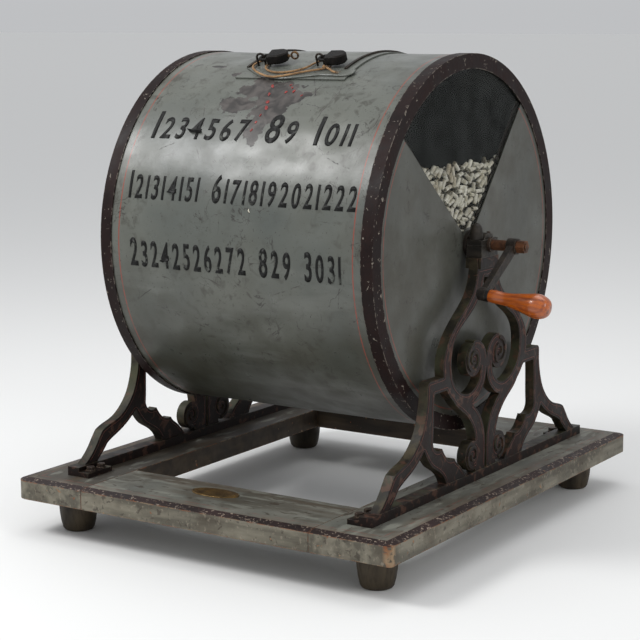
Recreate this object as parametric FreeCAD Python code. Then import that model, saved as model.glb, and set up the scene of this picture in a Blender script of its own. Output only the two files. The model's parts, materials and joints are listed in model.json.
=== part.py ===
import FreeCAD
import Part
import math
import os

# Hand-cranked lottery draw drum on a framed wooden base, in millimetres.
# The drum's axis lies along X with the crank at the +X end. The front, with the hatch lip, faces -Y.
# Everything is modelled with X = 0 at the drum's middle, then moved so that the origin
# is on the floor under the middle of the whole machine, crank included.

V = FreeCAD.Vector
X_AXIS = V(1, 0, 0)
Z_AXIS = V(0, 0, 1)

# Base: four boards on turned feet
BASE_X = 711.0
BASE_Y = 825.0
BOARD_T = 34.0
BOARD_W = 140.0
FOOT_H = 60.0
FOOT_TOP_R = 32.0
FOOT_BOTTOM_R = 26.0
FOOT_X = 287.0
FOOT_Y = 336.0
TENON_R = 12.0
TENON_L = 22.0
BEVEL_W = 15.0
BEVEL_H = 4.0
# Corners of the base: back right, back left, front left, and front right, which is the sharpest
CORNER_RADII = (18.0, 20.0, 24.0, 7.0)
DOWEL_R = 6.0
DOWEL_L = 60.0
DOWEL_INSETS = (35.0, 105.0)
OVAL_X = -19.0
OVAL_Y = -320.0
OVAL_HALF_X = 43.0
OVAL_HALF_Y = 22.0
OVAL_T = 1.6
OVAL_PIN_OUT = 37.0
OVAL_PIN_R = 1.2
OVAL_PIN_L = 8.0
OVAL_PIN_HEAD_H = 0.8
BASE_TOP = FOOT_H + BOARD_T

# Drum
DRUM_R = 300.0
DRUM_L = 512.0
AXIS_Z = BASE_TOP + 378.0
BAND_T = 2.0
BAND_W = 21.0
FLANGE_IN_R = 276.0
SHELL_T = 1.5
DISC_T = 1.5
SHELL_R = DRUM_R - BAND_T
SHELL_IN_R = SHELL_R - SHELL_T
DISC_IN_X = DRUM_L / 2 - BAND_T - DISC_T
DISC_OUT_X = DRUM_L / 2 - BAND_T

# Window in the crank-end disc, as angles from +Y over the top
WINDOW_A0 = 50.5
WINDOW_A1 = 139.5
WINDOW_IN_R = 25.0
WINDOW_OUT_R = 281.0
BEAD_ANGLE = 1.5
GLASS_T = 3.0
GLASS_LAP = 9.0
BEAD_T = 3.0

# Shaft, hubs and crank
SHAFT_R = 8.5
HUB_R = 21.0
HUB_T = 6.0
SLEEVE_R = 11.5
RIVET_R = 2.0
RIVET_HEAD_R = 3.2
RIVET_RING_R = 16.0
RIVET_HEAD_H = 2.2
COLLAR_R = 12.0
COLLAR_W = 5.0
COLLAR_GAP = 0.4
CRANK_Y = -99.0
CRANK_DZ = -63.0
ARM_X0 = 327.0
ARM_T = 12.0
ARM_HUB_R = 12.5
ARM_BOSS_R = 10.5
THREAD_R = 6.0
CRANK_NUT_L = 14.0
CRANK_NUT_W = 18.5
SPINDLE_R = 4.0
SPINDLE_HEAD_R = 7.0
SPINDLE_HEAD_T = 3.0
FERRULE_R = 10.6
FERRULE_L = 5.0
FERRULE_GAP = 0.5
GRIP_L = 102.0
GRIP_DROOP = 7.0
GRIP_END_X = 446.0
RUN_CLEARANCE = 0.06

# Trestles and bearings
TRESTLE_IN_X = 272.0
TRESTLE_OUT_X = 288.0
RAIL_IN_X = 267.0
RAIL_OUT_X = 290.0
RAIL_Y = 356.0
RAIL_H = 15.0
BEARING_X0 = 264.5
BEARING_X1 = 291.5
BEARING_MID_X = (BEARING_X0 + BEARING_X1) / 2
BEARING_Y = 27.0
PAD_Z0 = AXIS_Z - 36.0
PAD_Z1 = AXIS_Z - 19.0
CAP_Z1 = AXIS_Z + 9.0
CAP_DOME_R = SHAFT_R + 10.0
CAP_DOME_Y = 16.2
CAP_DOME_INSET = 2.0
SPLIT_GAP = 0.5
STUD_Y = 20.5
STUD_R = 3.0
STUD_OUT = 9.0
STUD_DEPTH = 13.0
DOME_NUT_R = 10.5
DOME_NUT_H = 27.0
DOME_NUT_ROOM = 0.3
FLAT_NUT_W = 11.0
FLAT_NUT_H = 6.0
FLAT_NUT_ROOM_R = 7.0
PLATE_X0 = 247.0
PLATE_Y0 = 296.0
PLATE_T = 8.0
SCREW_X = 257.0
SCREW_Y = (312.0, 338.0)
SCREW_R = 3.5
SCREW_DEPTH = 24.0
SCREW_HEAD_W = 12.0
SCREW_HEAD_H = 5.5
WASHER_R = 8.0
WASHER_T = 1.5
VOLUTE_RISE = 2.0
# Volutes on the half with y > 0: (y, z, radius)
UPPER_VOLUTE = (43.0, 293.0, 27.0)
LOWER_VOLUTE = (44.0, 137.0, 24.0)

# Hatch: angles run from -Y over the top to +Y
HATCH_X0 = -95.0
HATCH_X1 = 112.0
HATCH_A0 = 60.5
HATCH_A1 = 117.5
HATCH_LAP = 9.0
HATCH_IN_R = SHELL_R + 0.4
HATCH_OUT_R = HATCH_IN_R + 2.0
LIP_X0 = -88.0
LIP_X1 = 119.0
LIP_A0 = 59.8
LIP_A1 = 65.8
LIP_T = 2.0
HINGE_A = 119.0
HINGE_R = SHELL_R + 5.5
KNUCKLE_R = 4.5
HINGE_PIN_R = 1.8
KNUCKLES = 7
KNUCKLE_GAP = 0.6
LEAF_INSET = 10.0
HATCH_LEAF_T = 1.6
DRUM_LEAF_T = 2.0
# Each leaf's plain part, then the part under its knuckles, as angles
HATCH_LEAF_ANGLES = ((112.5, 117.3), (117.0, 118.6))
DRUM_LEAF_ANGLES = ((120.6, 125.0), (118.9, 120.8))
HATCH_BEAD_X = (-91.0, 95.0)
HATCH_BEAD_W = 4.0
HATCH_BEAD_T = 3.0
HATCH_BEAD_ANGLES = (66.5, 112.0)

# Padlocks: where each staple stands (x, angle), its turn on the hatch, and its size factor
PADLOCKS = {
    "left": (-68.0, 68.6, 12.0, 1.15),
    "right": (43.5, 69.2, 4.0, 1.12),
}
WIRE_R = 2.2
BOW_R = 8.0
SHOULDER_U = 13.0
CASE_R = 13.0
CASE_L = 29.0
CASE_T = 13.6
CASE_REST = 5.2
HEEL_DEPTH = 5.0
TOE_DEPTH = 4.0
EYE_EXTRA = 0.3
WIRE_ROOM = 0.35
MOUTH_SPARE = 1.2
LOCK_RIVET_R = 0.9
STAPLE_R = 1.6
STAPLE_HALF = 5.5
STAPLE_RISE = 6.2
KEY_R = 1.7
KEY_U0 = 30.0
KEY_BOW_U = 52.0
KEY_BOW_R = 7.0
KEY_BOW_T = 2.4
KEY_EYE_R = 4.2
KEY_STOP_R = 2.8
KEY_STOP_T = 1.6
KEY_STOP_GAP = 0.4

# Twine tied round both staples: (x, angle, radius) along its line, from inside the knot,
# round the left staple, round the right one, back through the knot and on to the loose end
TWINE_R = 1.8
TWINE_ROUTE = [
    (60.8, 65.1, 304.9),
    (49.0, 64.3, 304.8),
    (36.0, 63.6, 304.7),
    (21.0, 62.3, 304.7),
    (5.0, 61.0, 304.7),
    (-11.0, 60.0, 304.7),
    (-27.0, 60.0, 304.7),
    (-42.0, 61.0, 304.7),
    (-56.0, 62.4, 304.7),
    (-69.0, 64.1, 304.7),
    (-78.6, 66.4, 304.3),
    (-81.0, 69.1, 302.8),
    (-76.6, 71.3, 302.6),
    (-66.6, 72.0, 302.6),
    (-57.6, 70.8, 302.6),
    (-54.4, 68.3, 302.8),
    (-52.2, 65.9, 304.5),
    (-44.5, 64.2, 304.7),
    (-33.0, 63.0, 304.7),
    (-19.0, 62.4, 304.7),
    (-4.0, 62.6, 304.7),
    (10.0, 63.4, 304.7),
    (22.0, 64.7, 304.7),
    (29.4, 66.8, 304.2),
    (29.2, 69.6, 302.8),
    (34.0, 72.0, 302.6),
    (43.5, 73.0, 302.6),
    (53.2, 72.2, 302.6),
    (58.8, 70.0, 302.6),
    (60.4, 67.7, 302.9),
    (62.6, 65.9, 304.9),
    (73.0, 65.2, 304.8),
    (83.0, 63.5, 304.7),
    (90.0, 63.2, 304.7),
]
KNOT_PLACE = (61.5, 65.5, 306.6)
KNOT_R = 4.2

# Tokens in the drum: their level surface slopes down from the window
HEAP_GAP = 2.5
HEAP_X = DISC_IN_X - GLASS_T - BEAD_T - HEAP_GAP
HEAP_R = SHELL_IN_R - HEAP_GAP
SHAFT_ROOM = 0.6
HEAP_Z_WINDOW = 600.0
HEAP_Z_FAR = 470.0

SHIFT_X = (GRIP_END_X - BASE_X / 2) / 2


def box(x0, x1, y0, y1, z0, z1):
    return Part.makeBox(x1 - x0, y1 - y0, z1 - z0, V(x0, y0, z0))


def x_rod(radius, x0, x1, y=0.0, z=AXIS_Z):
    return Part.makeCylinder(radius, x1 - x0, V(x0, y, z), X_AXIS)


def z_rod(radius, x, y, z0, z1):
    return Part.makeCylinder(radius, z1 - z0, V(x, y, z0), Z_AXIS)


def tube(outer, inner, x0, x1):
    return x_rod(outer, x0, x1).cut(x_rod(inner, x0 - 1, x1 + 1))


def mirror_x(shape):
    return shape.mirror(V(0, 0, 0), X_AXIS)


def both_ends(shape):
    return Part.makeCompound([mirror_x(shape), shape])


def on_drum(x, angle, radius):
    """A point at that angle from -Y over the top, at that distance from the drum's axis."""
    a = math.radians(angle)
    return V(x, -radius * math.cos(a), AXIS_Z + radius * math.sin(a))


def sector(x0, x1, a0, a1):
    """A wedge from the drum's axis outwards, between two angles from -Y over the top."""
    reach = 1.5 * DRUM_R
    points = [V(x0, 0, AXIS_Z)]
    points += [on_drum(x0, a, reach) for a in (a0, (a0 + a1) / 2, a1)]
    face = Part.Face(Part.makePolygon(points + points[:1]))
    return face.extrude(V(x1 - x0, 0, 0))


def curved_plate(inner, outer, x0, x1, a0, a1):
    return tube(outer, inner, x0, x1).common(sector(x0, x1, a0, a1))


def hexagon_prism(across_flats, start, length, axis):
    radius = across_flats / math.sqrt(3)
    turn = FreeCAD.Rotation(Z_AXIS, axis)
    corners = []
    for k in range(7):
        a = math.radians(60 * k + 30)
        corner = V(radius * math.cos(a), radius * math.sin(a), 0)
        corners.append(start + turn.multVec(corner))
    return Part.Face(Part.makePolygon(corners)).extrude(axis * length)


def spline(points):
    curve = Part.BSplineCurve()
    curve.interpolate(points)
    return curve.toShape()


def revolved(profile, base, axis):
    """Turns a closed (radius, height) outline about an axis through base."""
    side = V(0, 0, 1) if abs(axis.x) > 0.5 else V(1, 0, 0)
    points = [base + side * r + axis * h for r, h in profile]
    return Part.Face(Part.makePolygon(points + points[:1])).revolve(base, axis, 360)


# Base


def rounded_rectangle(half_x, half_y, radii, z):
    arcs = []
    for k, (sx, sy) in enumerate([(1, 1), (-1, 1), (-1, -1), (1, -1)]):
        r = radii[k]
        centre = V(sx * (half_x - r), sy * (half_y - r), z)
        start = math.radians(90 * k)
        angles = [start, start + math.pi / 4, start + math.pi / 2]
        arcs.append([centre + V(r * math.cos(a), r * math.sin(a), 0) for a in angles])
    edges = []
    for k, points in enumerate(arcs):
        edges.append(Part.Arc(*points).toShape())
        edges.append(Part.makeLine(points[2], arcs[(k + 1) % 4][0]))
    return Part.Wire(edges)


def base_slab():
    """The whole base as one bevelled slab, before it is cut into boards."""
    underside = rounded_rectangle(BASE_X / 2, BASE_Y / 2, CORNER_RADII, FOOT_H)
    lower = Part.Face(underside).extrude(V(0, 0, BOARD_T - BEVEL_H))
    rim = rounded_rectangle(BASE_X / 2, BASE_Y / 2, CORNER_RADII, BASE_TOP - BEVEL_H)
    top_radii = [r / 2 for r in CORNER_RADII]
    top = rounded_rectangle(BASE_X / 2 - BEVEL_W, BASE_Y / 2 - BEVEL_W, top_radii, BASE_TOP)
    return lower.fuse(Part.makeLoft([rim, top], True, True)).removeSplitter()


def dowel_rods():
    rods = []
    for sx in (-1, 1):
        for sy in (-1, 1):
            for inset in DOWEL_INSETS:
                y = sy * (BASE_Y / 2 - inset)
                x = sx * (BASE_X / 2 - BOARD_W)
                rods.append(x_rod(DOWEL_R, x - DOWEL_L / 2, x + DOWEL_L / 2, y, FOOT_H + BOARD_T / 2))
    return Part.makeCompound(rods)


def foot(x, y):
    profile = [(0, 0), (20, 0), (23.5, 1.5), (FOOT_BOTTOM_R, 5), (28.6, 16), (30.4, 28), (31.6, 42)]
    profile += [(FOOT_TOP_R, 52), (FOOT_TOP_R - 1, FOOT_H), (TENON_R, FOOT_H)]
    profile += [(TENON_R, FOOT_H + TENON_L), (0, FOOT_H + TENON_L)]
    return revolved(profile, V(x, y, 0), Z_AXIS)


def screw(x, y):
    washer_z = BASE_TOP + PLATE_T
    head_z = washer_z + WASHER_T
    shank = z_rod(SCREW_R, x, y, BASE_TOP - SCREW_DEPTH, washer_z)
    washer = z_rod(WASHER_R, x, y, washer_z, head_z)
    head = hexagon_prism(SCREW_HEAD_W, V(x, y, head_z), SCREW_HEAD_H, Z_AXIS)
    return shank.fuse([washer, head]).removeSplitter()


def oval_pin_places():
    return [OVAL_X - OVAL_PIN_OUT, OVAL_X + OVAL_PIN_OUT]


def oval_plate():
    ring = Part.Ellipse(V(OVAL_X, OVAL_Y, BASE_TOP), OVAL_HALF_X, OVAL_HALF_Y).toShape()
    plate = Part.Face(Part.Wire([ring])).extrude(V(0, 0, OVAL_T))
    holes = [z_rod(OVAL_PIN_R, x, OVAL_Y, BASE_TOP - 1, BASE_TOP + 3) for x in oval_pin_places()]
    return plate.cut(holes)


def oval_plate_pins():
    pins = []
    top = BASE_TOP + OVAL_T
    for x in oval_pin_places():
        shank = z_rod(OVAL_PIN_R, x, OVAL_Y, BASE_TOP - OVAL_PIN_L, top)
        head = z_rod(2 * OVAL_PIN_R, x, OVAL_Y, top, top + OVAL_PIN_HEAD_H)
        pins.append(shank.fuse(head).removeSplitter())
    return Part.makeCompound(pins)


def make_base(nodes):
    slab = base_slab()
    rods = dowel_rods()
    feet = {
        "foot_front_left": foot(-FOOT_X, -FOOT_Y),
        "foot_front_right": foot(FOOT_X, -FOOT_Y),
        "foot_back_left": foot(-FOOT_X, FOOT_Y),
        "foot_back_right": foot(FOOT_X, FOOT_Y),
    }
    places = [(sx * SCREW_X, sy * y) for sx in (-1, 1) for sy in (-1, 1) for y in SCREW_Y]
    screws = Part.makeCompound([screw(x, y) for x, y in places])
    pins = oval_plate_pins()
    fixings = [rods, screws, pins] + list(feet.values())
    side = BASE_X / 2 - BOARD_W
    end = BASE_Y / 2 - BOARD_W
    far_x = BASE_X
    far_y = BASE_Y
    boards = {
        "base_board_left": box(-far_x, -side, -far_y, far_y, 0, 200),
        "base_board_right": box(side, far_x, -far_y, far_y, 0, 200),
        "base_board_front": box(-side, side, -far_y, -end, 0, 200),
        "base_board_back": box(-side, side, end, far_y, 0, 200),
    }
    for name, blank in boards.items():
        nodes[name] = slab.common(blank).cut(fixings)
    nodes.update(feet)
    nodes["board_dowels"] = rods
    nodes["trestle_screws"] = screws
    nodes["oval_plate"] = oval_plate()
    nodes["oval_plate_pins"] = pins


# Trestles: outlines in the plane of the casting, for the half with y > 0


def in_plane(y, z):
    return V(TRESTLE_IN_X, y, z)


def band(stations):
    """A flat bar of changing width: (y, z, width) stations along its centre line."""
    left = []
    right = []
    last = len(stations) - 1
    for k, (y, z, width) in enumerate(stations):
        before = stations[max(k - 1, 0)]
        after = stations[min(k + 1, last)]
        along = V(0, after[0] - before[0], after[1] - before[1]).normalize()
        side = V(0, -along.z, along.y) * (width / 2)
        left.append(in_plane(y, z) + side)
        right.append(in_plane(y, z) - side)
    ends = [Part.makeLine(left[-1], right[-1]), Part.makeLine(right[0], left[0])]
    return Part.Face(Part.Wire([spline(left), ends[0], spline(right).reversed(), ends[1]]))


def outline(*runs):
    """A closed face from runs of points: two points make a straight edge, more make a curve."""
    edges = []
    for run in runs:
        points = [in_plane(y, z) for y, z in run]
        edges.append(Part.makeLine(*points) if len(points) == 2 else spline(points))
    return Part.Face(Part.Wire(edges))


def disc(y, z, radius):
    return Part.Face(Part.Wire([Part.makeCircle(radius, in_plane(y, z), X_AXIS)]))


def pear_bar():
    """From the neck round the pear-shaped lobe and up the middle into the upper volute."""
    return band(
        [
            (20, 440, 26),
            (27, 414, 24),
            (38, 395, 22),
            (57, 378, 19),
            (82, 362, 16),
            (105, 345, 15),
            (121, 325, 19),
            (128.5, 302, 25),
            (127, 280, 25),
            (117, 260, 22),
            (98, 243, 20),
            (76, 233, 20),
            (53, 231, 20),
            (32, 239, 19),
            (16, 254, 18),
            (9.5, 276, 19),
            (12, 299, 18),
            (26, 314, 14),
            (44, 318, 10),
        ]
    )


def waist_bar():
    """From the bottom of the lobe in to the waist and down to the rail."""
    return band(
        [
            (106, 247, 16),
            (84, 229, 18),
            (62, 218, 22),
            (42, 203, 26),
            (26, 183, 29),
            (19, 160, 31),
            (18, 136, 31),
            (19, 104, 31),
        ]
    )


def arm_and_foot():
    """The square-shouldered arm, the outer leg, its foot, and the toothed leaf inside it."""
    return outline(
        [(126, 281), (180, 281)],
        [(180, 281), (187, 279), (190, 271)],
        [(190, 271), (191, 250), (197, 226), (206, 206), (222, 187), (246, 171), (270, 164), (288, 157)],
        [(288, 157), (298, 145), (308, 132), (326, 115), (352, 100)],
        [(352, 100), (310, 104)],
        [(310, 104), (292, 118), (276, 134)],
        [(276, 134), (262, 141), (240, 150), (220, 161), (200, 176)],
        [(200, 176), (188, 160), (174, 146), (158, 137), (144, 128), (128, 104)],
        [(128, 104), (62, 104)],
        [(62, 104), (76, 120), (88, 131), (97, 137), (104, 145)],
        [(104, 145), (124, 148), (136, 158), (144, 169)],
        [(144, 169), (156, 167), (168, 173), (173, 184)],
        [(173, 184), (171.5, 204), (171, 226), (169, 259)],
        [(169, 259), (120, 259)],
        [(120, 259), (126, 281)],
    )


def neck():
    corners = [(0, 420), (12, 422), (34, 441), (34, 453), (0, 453)]
    return outline(*zip(corners, corners[1:] + corners[:1]))


def spiral_relief(centre, turn_in, start_angle, turns):
    """A raised spiral on a volute: the radius shrinks evenly with the angle."""
    y0, z0, radius = centre
    count = int(10 * turns)
    stations = []
    for k in range(count + 1):
        share = k / count
        r = (radius - 4.0) * (1 - share) + 4.5 * share
        a = math.radians(start_angle + turn_in * 360 * turns * share)
        stations.append((y0 + r * math.cos(a), z0 + r * math.sin(a), 5.0 - 1.5 * share))
    return band(stations)


def trestle():
    """One casting, for the +X end."""
    half = [pear_bar(), waist_bar(), arm_and_foot(), neck(), disc(*UPPER_VOLUTE), disc(*LOWER_VOLUTE)]
    thickness = V(TRESTLE_OUT_X - TRESTLE_IN_X, 0, 0)
    flat = half[0].multiFuse(half[1:]).removeSplitter()
    wing = flat.extrude(thickness)
    reliefs = [spiral_relief(UPPER_VOLUTE, -1, 90, 1.6), spiral_relief(LOWER_VOLUTE, 1, -90, 1.3)]
    raised = []
    for face in reliefs:
        face.translate(V(-VOLUTE_RISE, 0, 0))
        raised.append(face.extrude(thickness + V(2 * VOLUTE_RISE, 0, 0)))
    wing = wing.multiFuse(raised)
    other = wing.mirror(V(0, 0, 0), V(0, 1, 0))
    rail = box(RAIL_IN_X, RAIL_OUT_X, -RAIL_Y, RAIL_Y, BASE_TOP, BASE_TOP + RAIL_H)
    pad = box(BEARING_X0, BEARING_X1, -BEARING_Y - 3, BEARING_Y + 3, PAD_Z0, PAD_Z1)
    gusset = box(TRESTLE_IN_X, TRESTLE_OUT_X, -34, 34, PAD_Z0, PAD_Z1)
    plate_top = BASE_TOP + PLATE_T
    plate = box(PLATE_X0, RAIL_IN_X + 1, PLATE_Y0, RAIL_Y, BASE_TOP, plate_top)
    plates = [plate, plate.mirror(V(0, 0, 0), V(0, 1, 0))]
    body = wing.multiFuse([other, rail, pad, gusset] + plates).removeSplitter()
    screw_places = [s * y for s in (-1, 1) for y in SCREW_Y]
    holes = [z_rod(SCREW_R, SCREW_X, y, BASE_TOP - 1, plate_top + 1) for y in screw_places]
    holes += [z_rod(STUD_R, BEARING_MID_X, s * STUD_Y, PAD_Z1 - STUD_DEPTH, PAD_Z1 + 1) for s in (-1, 1)]
    return body.cut(holes)


def bearing_block(z0, z1):
    block = box(BEARING_X0, BEARING_X1, -BEARING_Y, BEARING_Y, z0, z1)
    bore = x_rod(SHAFT_R + RUN_CLEARANCE, BEARING_X0 - 1, BEARING_X1 + 1)
    holes = [z_rod(STUD_R + 0.2, BEARING_MID_X, s * STUD_Y, z0 - 1, z1 + 1) for s in (-1, 1)]
    return block.cut([bore] + holes)


def bearing_cap():
    """The upper half: a flat block with a low dome, cleared where the two nuts sit."""
    bottom = AXIS_Z + SPLIT_GAP / 2
    above = AXIS_Z + 2 * CAP_DOME_R
    ends = (BEARING_X0 + CAP_DOME_INSET, BEARING_X1 - CAP_DOME_INSET)
    dome = tube(CAP_DOME_R, SHAFT_R + RUN_CLEARANCE, *ends)
    dome = dome.common(box(BEARING_X0, BEARING_X1, -CAP_DOME_Y, CAP_DOME_Y, bottom, above))
    cap = bearing_block(bottom, CAP_Z1).fuse(dome).removeSplitter()
    front = z_rod(DOME_NUT_R + DOME_NUT_ROOM, BEARING_MID_X, -STUD_Y, CAP_Z1, above)
    back = z_rod(FLAT_NUT_ROOM_R, BEARING_MID_X, STUD_Y, CAP_Z1, above)
    return cap.cut([front, back])


def cap_nuts():
    """A tall domed nut on the front stud and a plain hexagon nut on the back one."""
    profile = [(0, 0), (DOME_NUT_R - 1, 0), (DOME_NUT_R, 2), (DOME_NUT_R, 13)]
    profile += [(9.6, 18.5), (7.4, 23), (4, 26), (0, DOME_NUT_H)]
    domed = revolved(profile, V(BEARING_MID_X, -STUD_Y, CAP_Z1), Z_AXIS)
    plain = hexagon_prism(FLAT_NUT_W, V(BEARING_MID_X, STUD_Y, CAP_Z1), FLAT_NUT_H, Z_AXIS)
    return [domed.cut(cap_stud(-1)), plain.cut(cap_stud(1))]


def cap_stud(side):
    return z_rod(STUD_R, BEARING_MID_X, side * STUD_Y, PAD_Z1 - STUD_DEPTH, CAP_Z1 + STUD_OUT)


def make_trestles(nodes):
    right = trestle()
    shell = bearing_block(PAD_Z1, AXIS_Z - SPLIT_GAP / 2)
    cap = bearing_cap()
    for side, place in (("left", mirror_x), ("right", lambda shape: shape)):
        nodes["trestle_" + side] = place(right)
        nodes["bearing_shell_" + side] = place(shell)
        nodes["bearing_cap_" + side] = place(cap)
    nodes["cap_studs"] = both_ends(Part.makeCompound([cap_stud(-1), cap_stud(1)]))
    nodes["cap_nuts"] = both_ends(Part.makeCompound(cap_nuts()))


# Drum


def drum_shell():
    shell = tube(SHELL_R, SHELL_IN_R, -DISC_OUT_X, DISC_OUT_X)
    lap_angle = math.degrees(HATCH_LAP / SHELL_R)
    mouth_a0 = HATCH_A0 + 2 * lap_angle
    mouth_a1 = HATCH_A1 - lap_angle
    return shell.cut(sector(HATCH_X0 + HATCH_LAP, HATCH_X1 - HATCH_LAP, mouth_a0, mouth_a1))


def rim_ring():
    end = DRUM_L / 2
    band_part = tube(DRUM_R, SHELL_R, end - BAND_W, end)
    flange = tube(DRUM_R, FLANGE_IN_R, DISC_OUT_X, end)
    return band_part.fuse(flange).removeSplitter()


def end_disc():
    rivets = [x_rod(RIVET_R, 0, DRUM_L, y, z) for y, z in hub_rivet_places()]
    return tube(SHELL_IN_R, SLEEVE_R, DISC_IN_X, DISC_OUT_X).cut(rivets)


def window_sector(x0, x1, margin):
    """The window's wedge, measured from -Y, with its straight edges moved outwards by a margin."""
    wedge = sector(x0, x1, 180 - WINDOW_A1, 180 - WINDOW_A0)
    ring = tube(WINDOW_OUT_R + margin, WINDOW_IN_R - margin, x0, x1)
    if not margin:
        return ring.common(wedge)
    half = math.radians((WINDOW_A1 - WINDOW_A0) / 2)
    middle = 180 - (WINDOW_A0 + WINDOW_A1) / 2
    down = on_drum(0, middle, -margin / math.sin(half)) - V(0, 0, AXIS_Z)
    wedge.translate(down)
    return ring.common(wedge)


def window_beads():
    """Two straight strips inside the disc that hold the glass along its radial edges."""
    x0 = DISC_IN_X - GLASS_T - BEAD_T
    wide = window_sector(x0, x0 + BEAD_T, GLASS_LAP)
    a0 = 180 - WINDOW_A1 + BEAD_ANGLE
    a1 = 180 - WINDOW_A0 - BEAD_ANGLE
    narrow = sector(x0 - 1, x0 + BEAD_T + 1, a0, a1)
    return wide.cut(narrow).common(tube(WINDOW_OUT_R, WINDOW_IN_R + 12, x0, x0 + BEAD_T))


def hub_rivet_places():
    angles = [math.radians(45 + 90 * k) for k in range(4)]
    return [(RIVET_RING_R * math.cos(a), AXIS_Z + RIVET_RING_R * math.sin(a)) for a in angles]


def hub():
    plate = x_rod(HUB_R, DISC_OUT_X, DISC_OUT_X + HUB_T)
    sleeve = x_rod(SLEEVE_R, DISC_IN_X - 1.0, DISC_OUT_X + 1)
    bore = x_rod(SHAFT_R, 0, DRUM_L)
    rivets = [x_rod(RIVET_R, 0, DRUM_L, y, z) for y, z in hub_rivet_places()]
    return plate.fuse(sleeve).removeSplitter().cut([bore] + rivets)


def hub_rivets():
    rivets = []
    for y, z in hub_rivet_places():
        shank = x_rod(RIVET_R, DISC_IN_X, DISC_OUT_X + HUB_T, y, z)
        head = x_rod(RIVET_HEAD_R, DISC_OUT_X + HUB_T, DISC_OUT_X + HUB_T + RIVET_HEAD_H, y, z)
        rivets.append(shank.fuse(head).removeSplitter())
    return Part.makeCompound(rivets)


def drum_shaft():
    hub_end = ARM_X0 + ARM_T + 2
    main = x_rod(SHAFT_R, -BEARING_X1 - COLLAR_W - 2, hub_end)
    thread = x_rod(THREAD_R, hub_end, hub_end + CRANK_NUT_L + 2)
    return main.fuse(thread).removeSplitter()


def drooped(shape):
    """The bent end of the crank points the grip slightly down."""
    shape.rotate(V(ARM_X0 + ARM_T / 2, CRANK_Y, AXIS_Z + CRANK_DZ), V(0, 1, 0), GRIP_DROOP)
    return shape


def crank_arm():
    y1 = CRANK_Y
    z1 = AXIS_Z + CRANK_DZ
    hub_part = x_rod(ARM_HUB_R, ARM_X0 - 2, ARM_X0 + ARM_T + 2)
    boss = drooped(x_rod(ARM_BOSS_R, ARM_X0, ARM_X0 + ARM_T, y1, z1))
    eye = drooped(x_rod(SPINDLE_R, 0, DRUM_L, y1, z1))
    along = V(0, y1, CRANK_DZ).normalize()
    side = V(0, -along.z, along.y)
    near = V(ARM_X0 + 1, 0, AXIS_Z)
    far = V(ARM_X0 + 1, y1, z1)
    corners = [near + side * 8.5, near - side * 8.5, far - side * 6.5, far + side * 6.5]
    bar = Part.Face(Part.makePolygon(corners + corners[:1])).extrude(V(ARM_T - 2, 0, 0))
    arm = hub_part.multiFuse([boss, bar]).removeSplitter()
    return arm.cut([x_rod(SHAFT_R, 0, DRUM_L), eye])


def grip_spindle():
    z = AXIS_Z + CRANK_DZ
    rod = x_rod(SPINDLE_R, ARM_X0, GRIP_END_X - 22, CRANK_Y, z)
    head = x_rod(SPINDLE_HEAD_R, ARM_X0 - SPINDLE_HEAD_T, ARM_X0, CRANK_Y, z)
    return drooped(rod.fuse(head).removeSplitter())


def crank_nut():
    start = ARM_X0 + ARM_T + 2
    blank = hexagon_prism(CRANK_NUT_W, V(start, 0, AXIS_Z), CRANK_NUT_L, X_AXIS)
    return blank.cut(x_rod(THREAD_R, 0, DRUM_L))


def grip_handle():
    """Turned wood, slim behind the ferrule and full near its rounded end."""
    start = ARM_X0 + ARM_T + FERRULE_GAP + FERRULE_L
    base = V(start, CRANK_Y, AXIS_Z + CRANK_DZ)
    body = [(0.0, 9.6), (0.10, 10.4), (0.25, 10.0), (0.46, 13.0), (0.66, 17.0), (0.82, 19.0), (0.93, 15.5)]
    points = [base + V(GRIP_L * share, 0, radius) for share, radius in body]
    tip = base + V(GRIP_L, 0, 0)
    curve = Part.BSplineCurve()
    curve.interpolate(points + [tip], FinalTangent=V(0, 0, -30), InitialTangent=V(9, 0, 1.5))
    edges = [curve.toShape(), Part.makeLine(tip, base), Part.makeLine(base, points[0])]
    solid = Part.Face(Part.Wire(edges)).revolve(base, X_AXIS, 360)
    bore = x_rod(SPINDLE_R + RUN_CLEARANCE, start - 1, GRIP_END_X - 21, CRANK_Y, AXIS_Z + CRANK_DZ)
    return drooped(solid.cut(bore))


def grip_ferrule():
    x0 = ARM_X0 + ARM_T + FERRULE_GAP
    z = AXIS_Z + CRANK_DZ
    ring = x_rod(FERRULE_R, x0, x0 + FERRULE_L, CRANK_Y, z)
    return drooped(ring.cut(x_rod(SPINDLE_R + RUN_CLEARANCE, x0 - 1, x0 + FERRULE_L + 1, CRANK_Y, z)))


def shaft_collar():
    start = BEARING_X1 + COLLAR_GAP
    return tube(COLLAR_R, SHAFT_R, start, start + COLLAR_W)


def make_drum(nodes):
    ring = rim_ring()
    disc_blank = end_disc()
    hub_part = hub()
    nodes["drum_shell"] = drum_shell()
    nodes["rim_ring_left"] = mirror_x(ring)
    nodes["rim_ring_right"] = ring
    nodes["end_disc_left"] = mirror_x(disc_blank)
    nodes["end_disc_right"] = disc_blank.cut(window_sector(DISC_IN_X - 1, DISC_OUT_X + 1, 0))
    nodes["window_glass"] = window_sector(DISC_IN_X - GLASS_T, DISC_IN_X, GLASS_LAP)
    nodes["window_beads"] = window_beads()
    nodes["hub_left"] = mirror_x(hub_part)
    nodes["hub_right"] = hub_part
    nodes["hub_rivets"] = both_ends(hub_rivets())
    nodes["drum_shaft"] = drum_shaft()
    nodes["shaft_collars"] = both_ends(shaft_collar())
    nodes["crank_arm"] = crank_arm()
    nodes["crank_nut"] = crank_nut()
    nodes["grip_spindle"] = grip_spindle()
    nodes["grip_handle"] = grip_handle()
    nodes["grip_ferrule"] = grip_ferrule()


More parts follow.
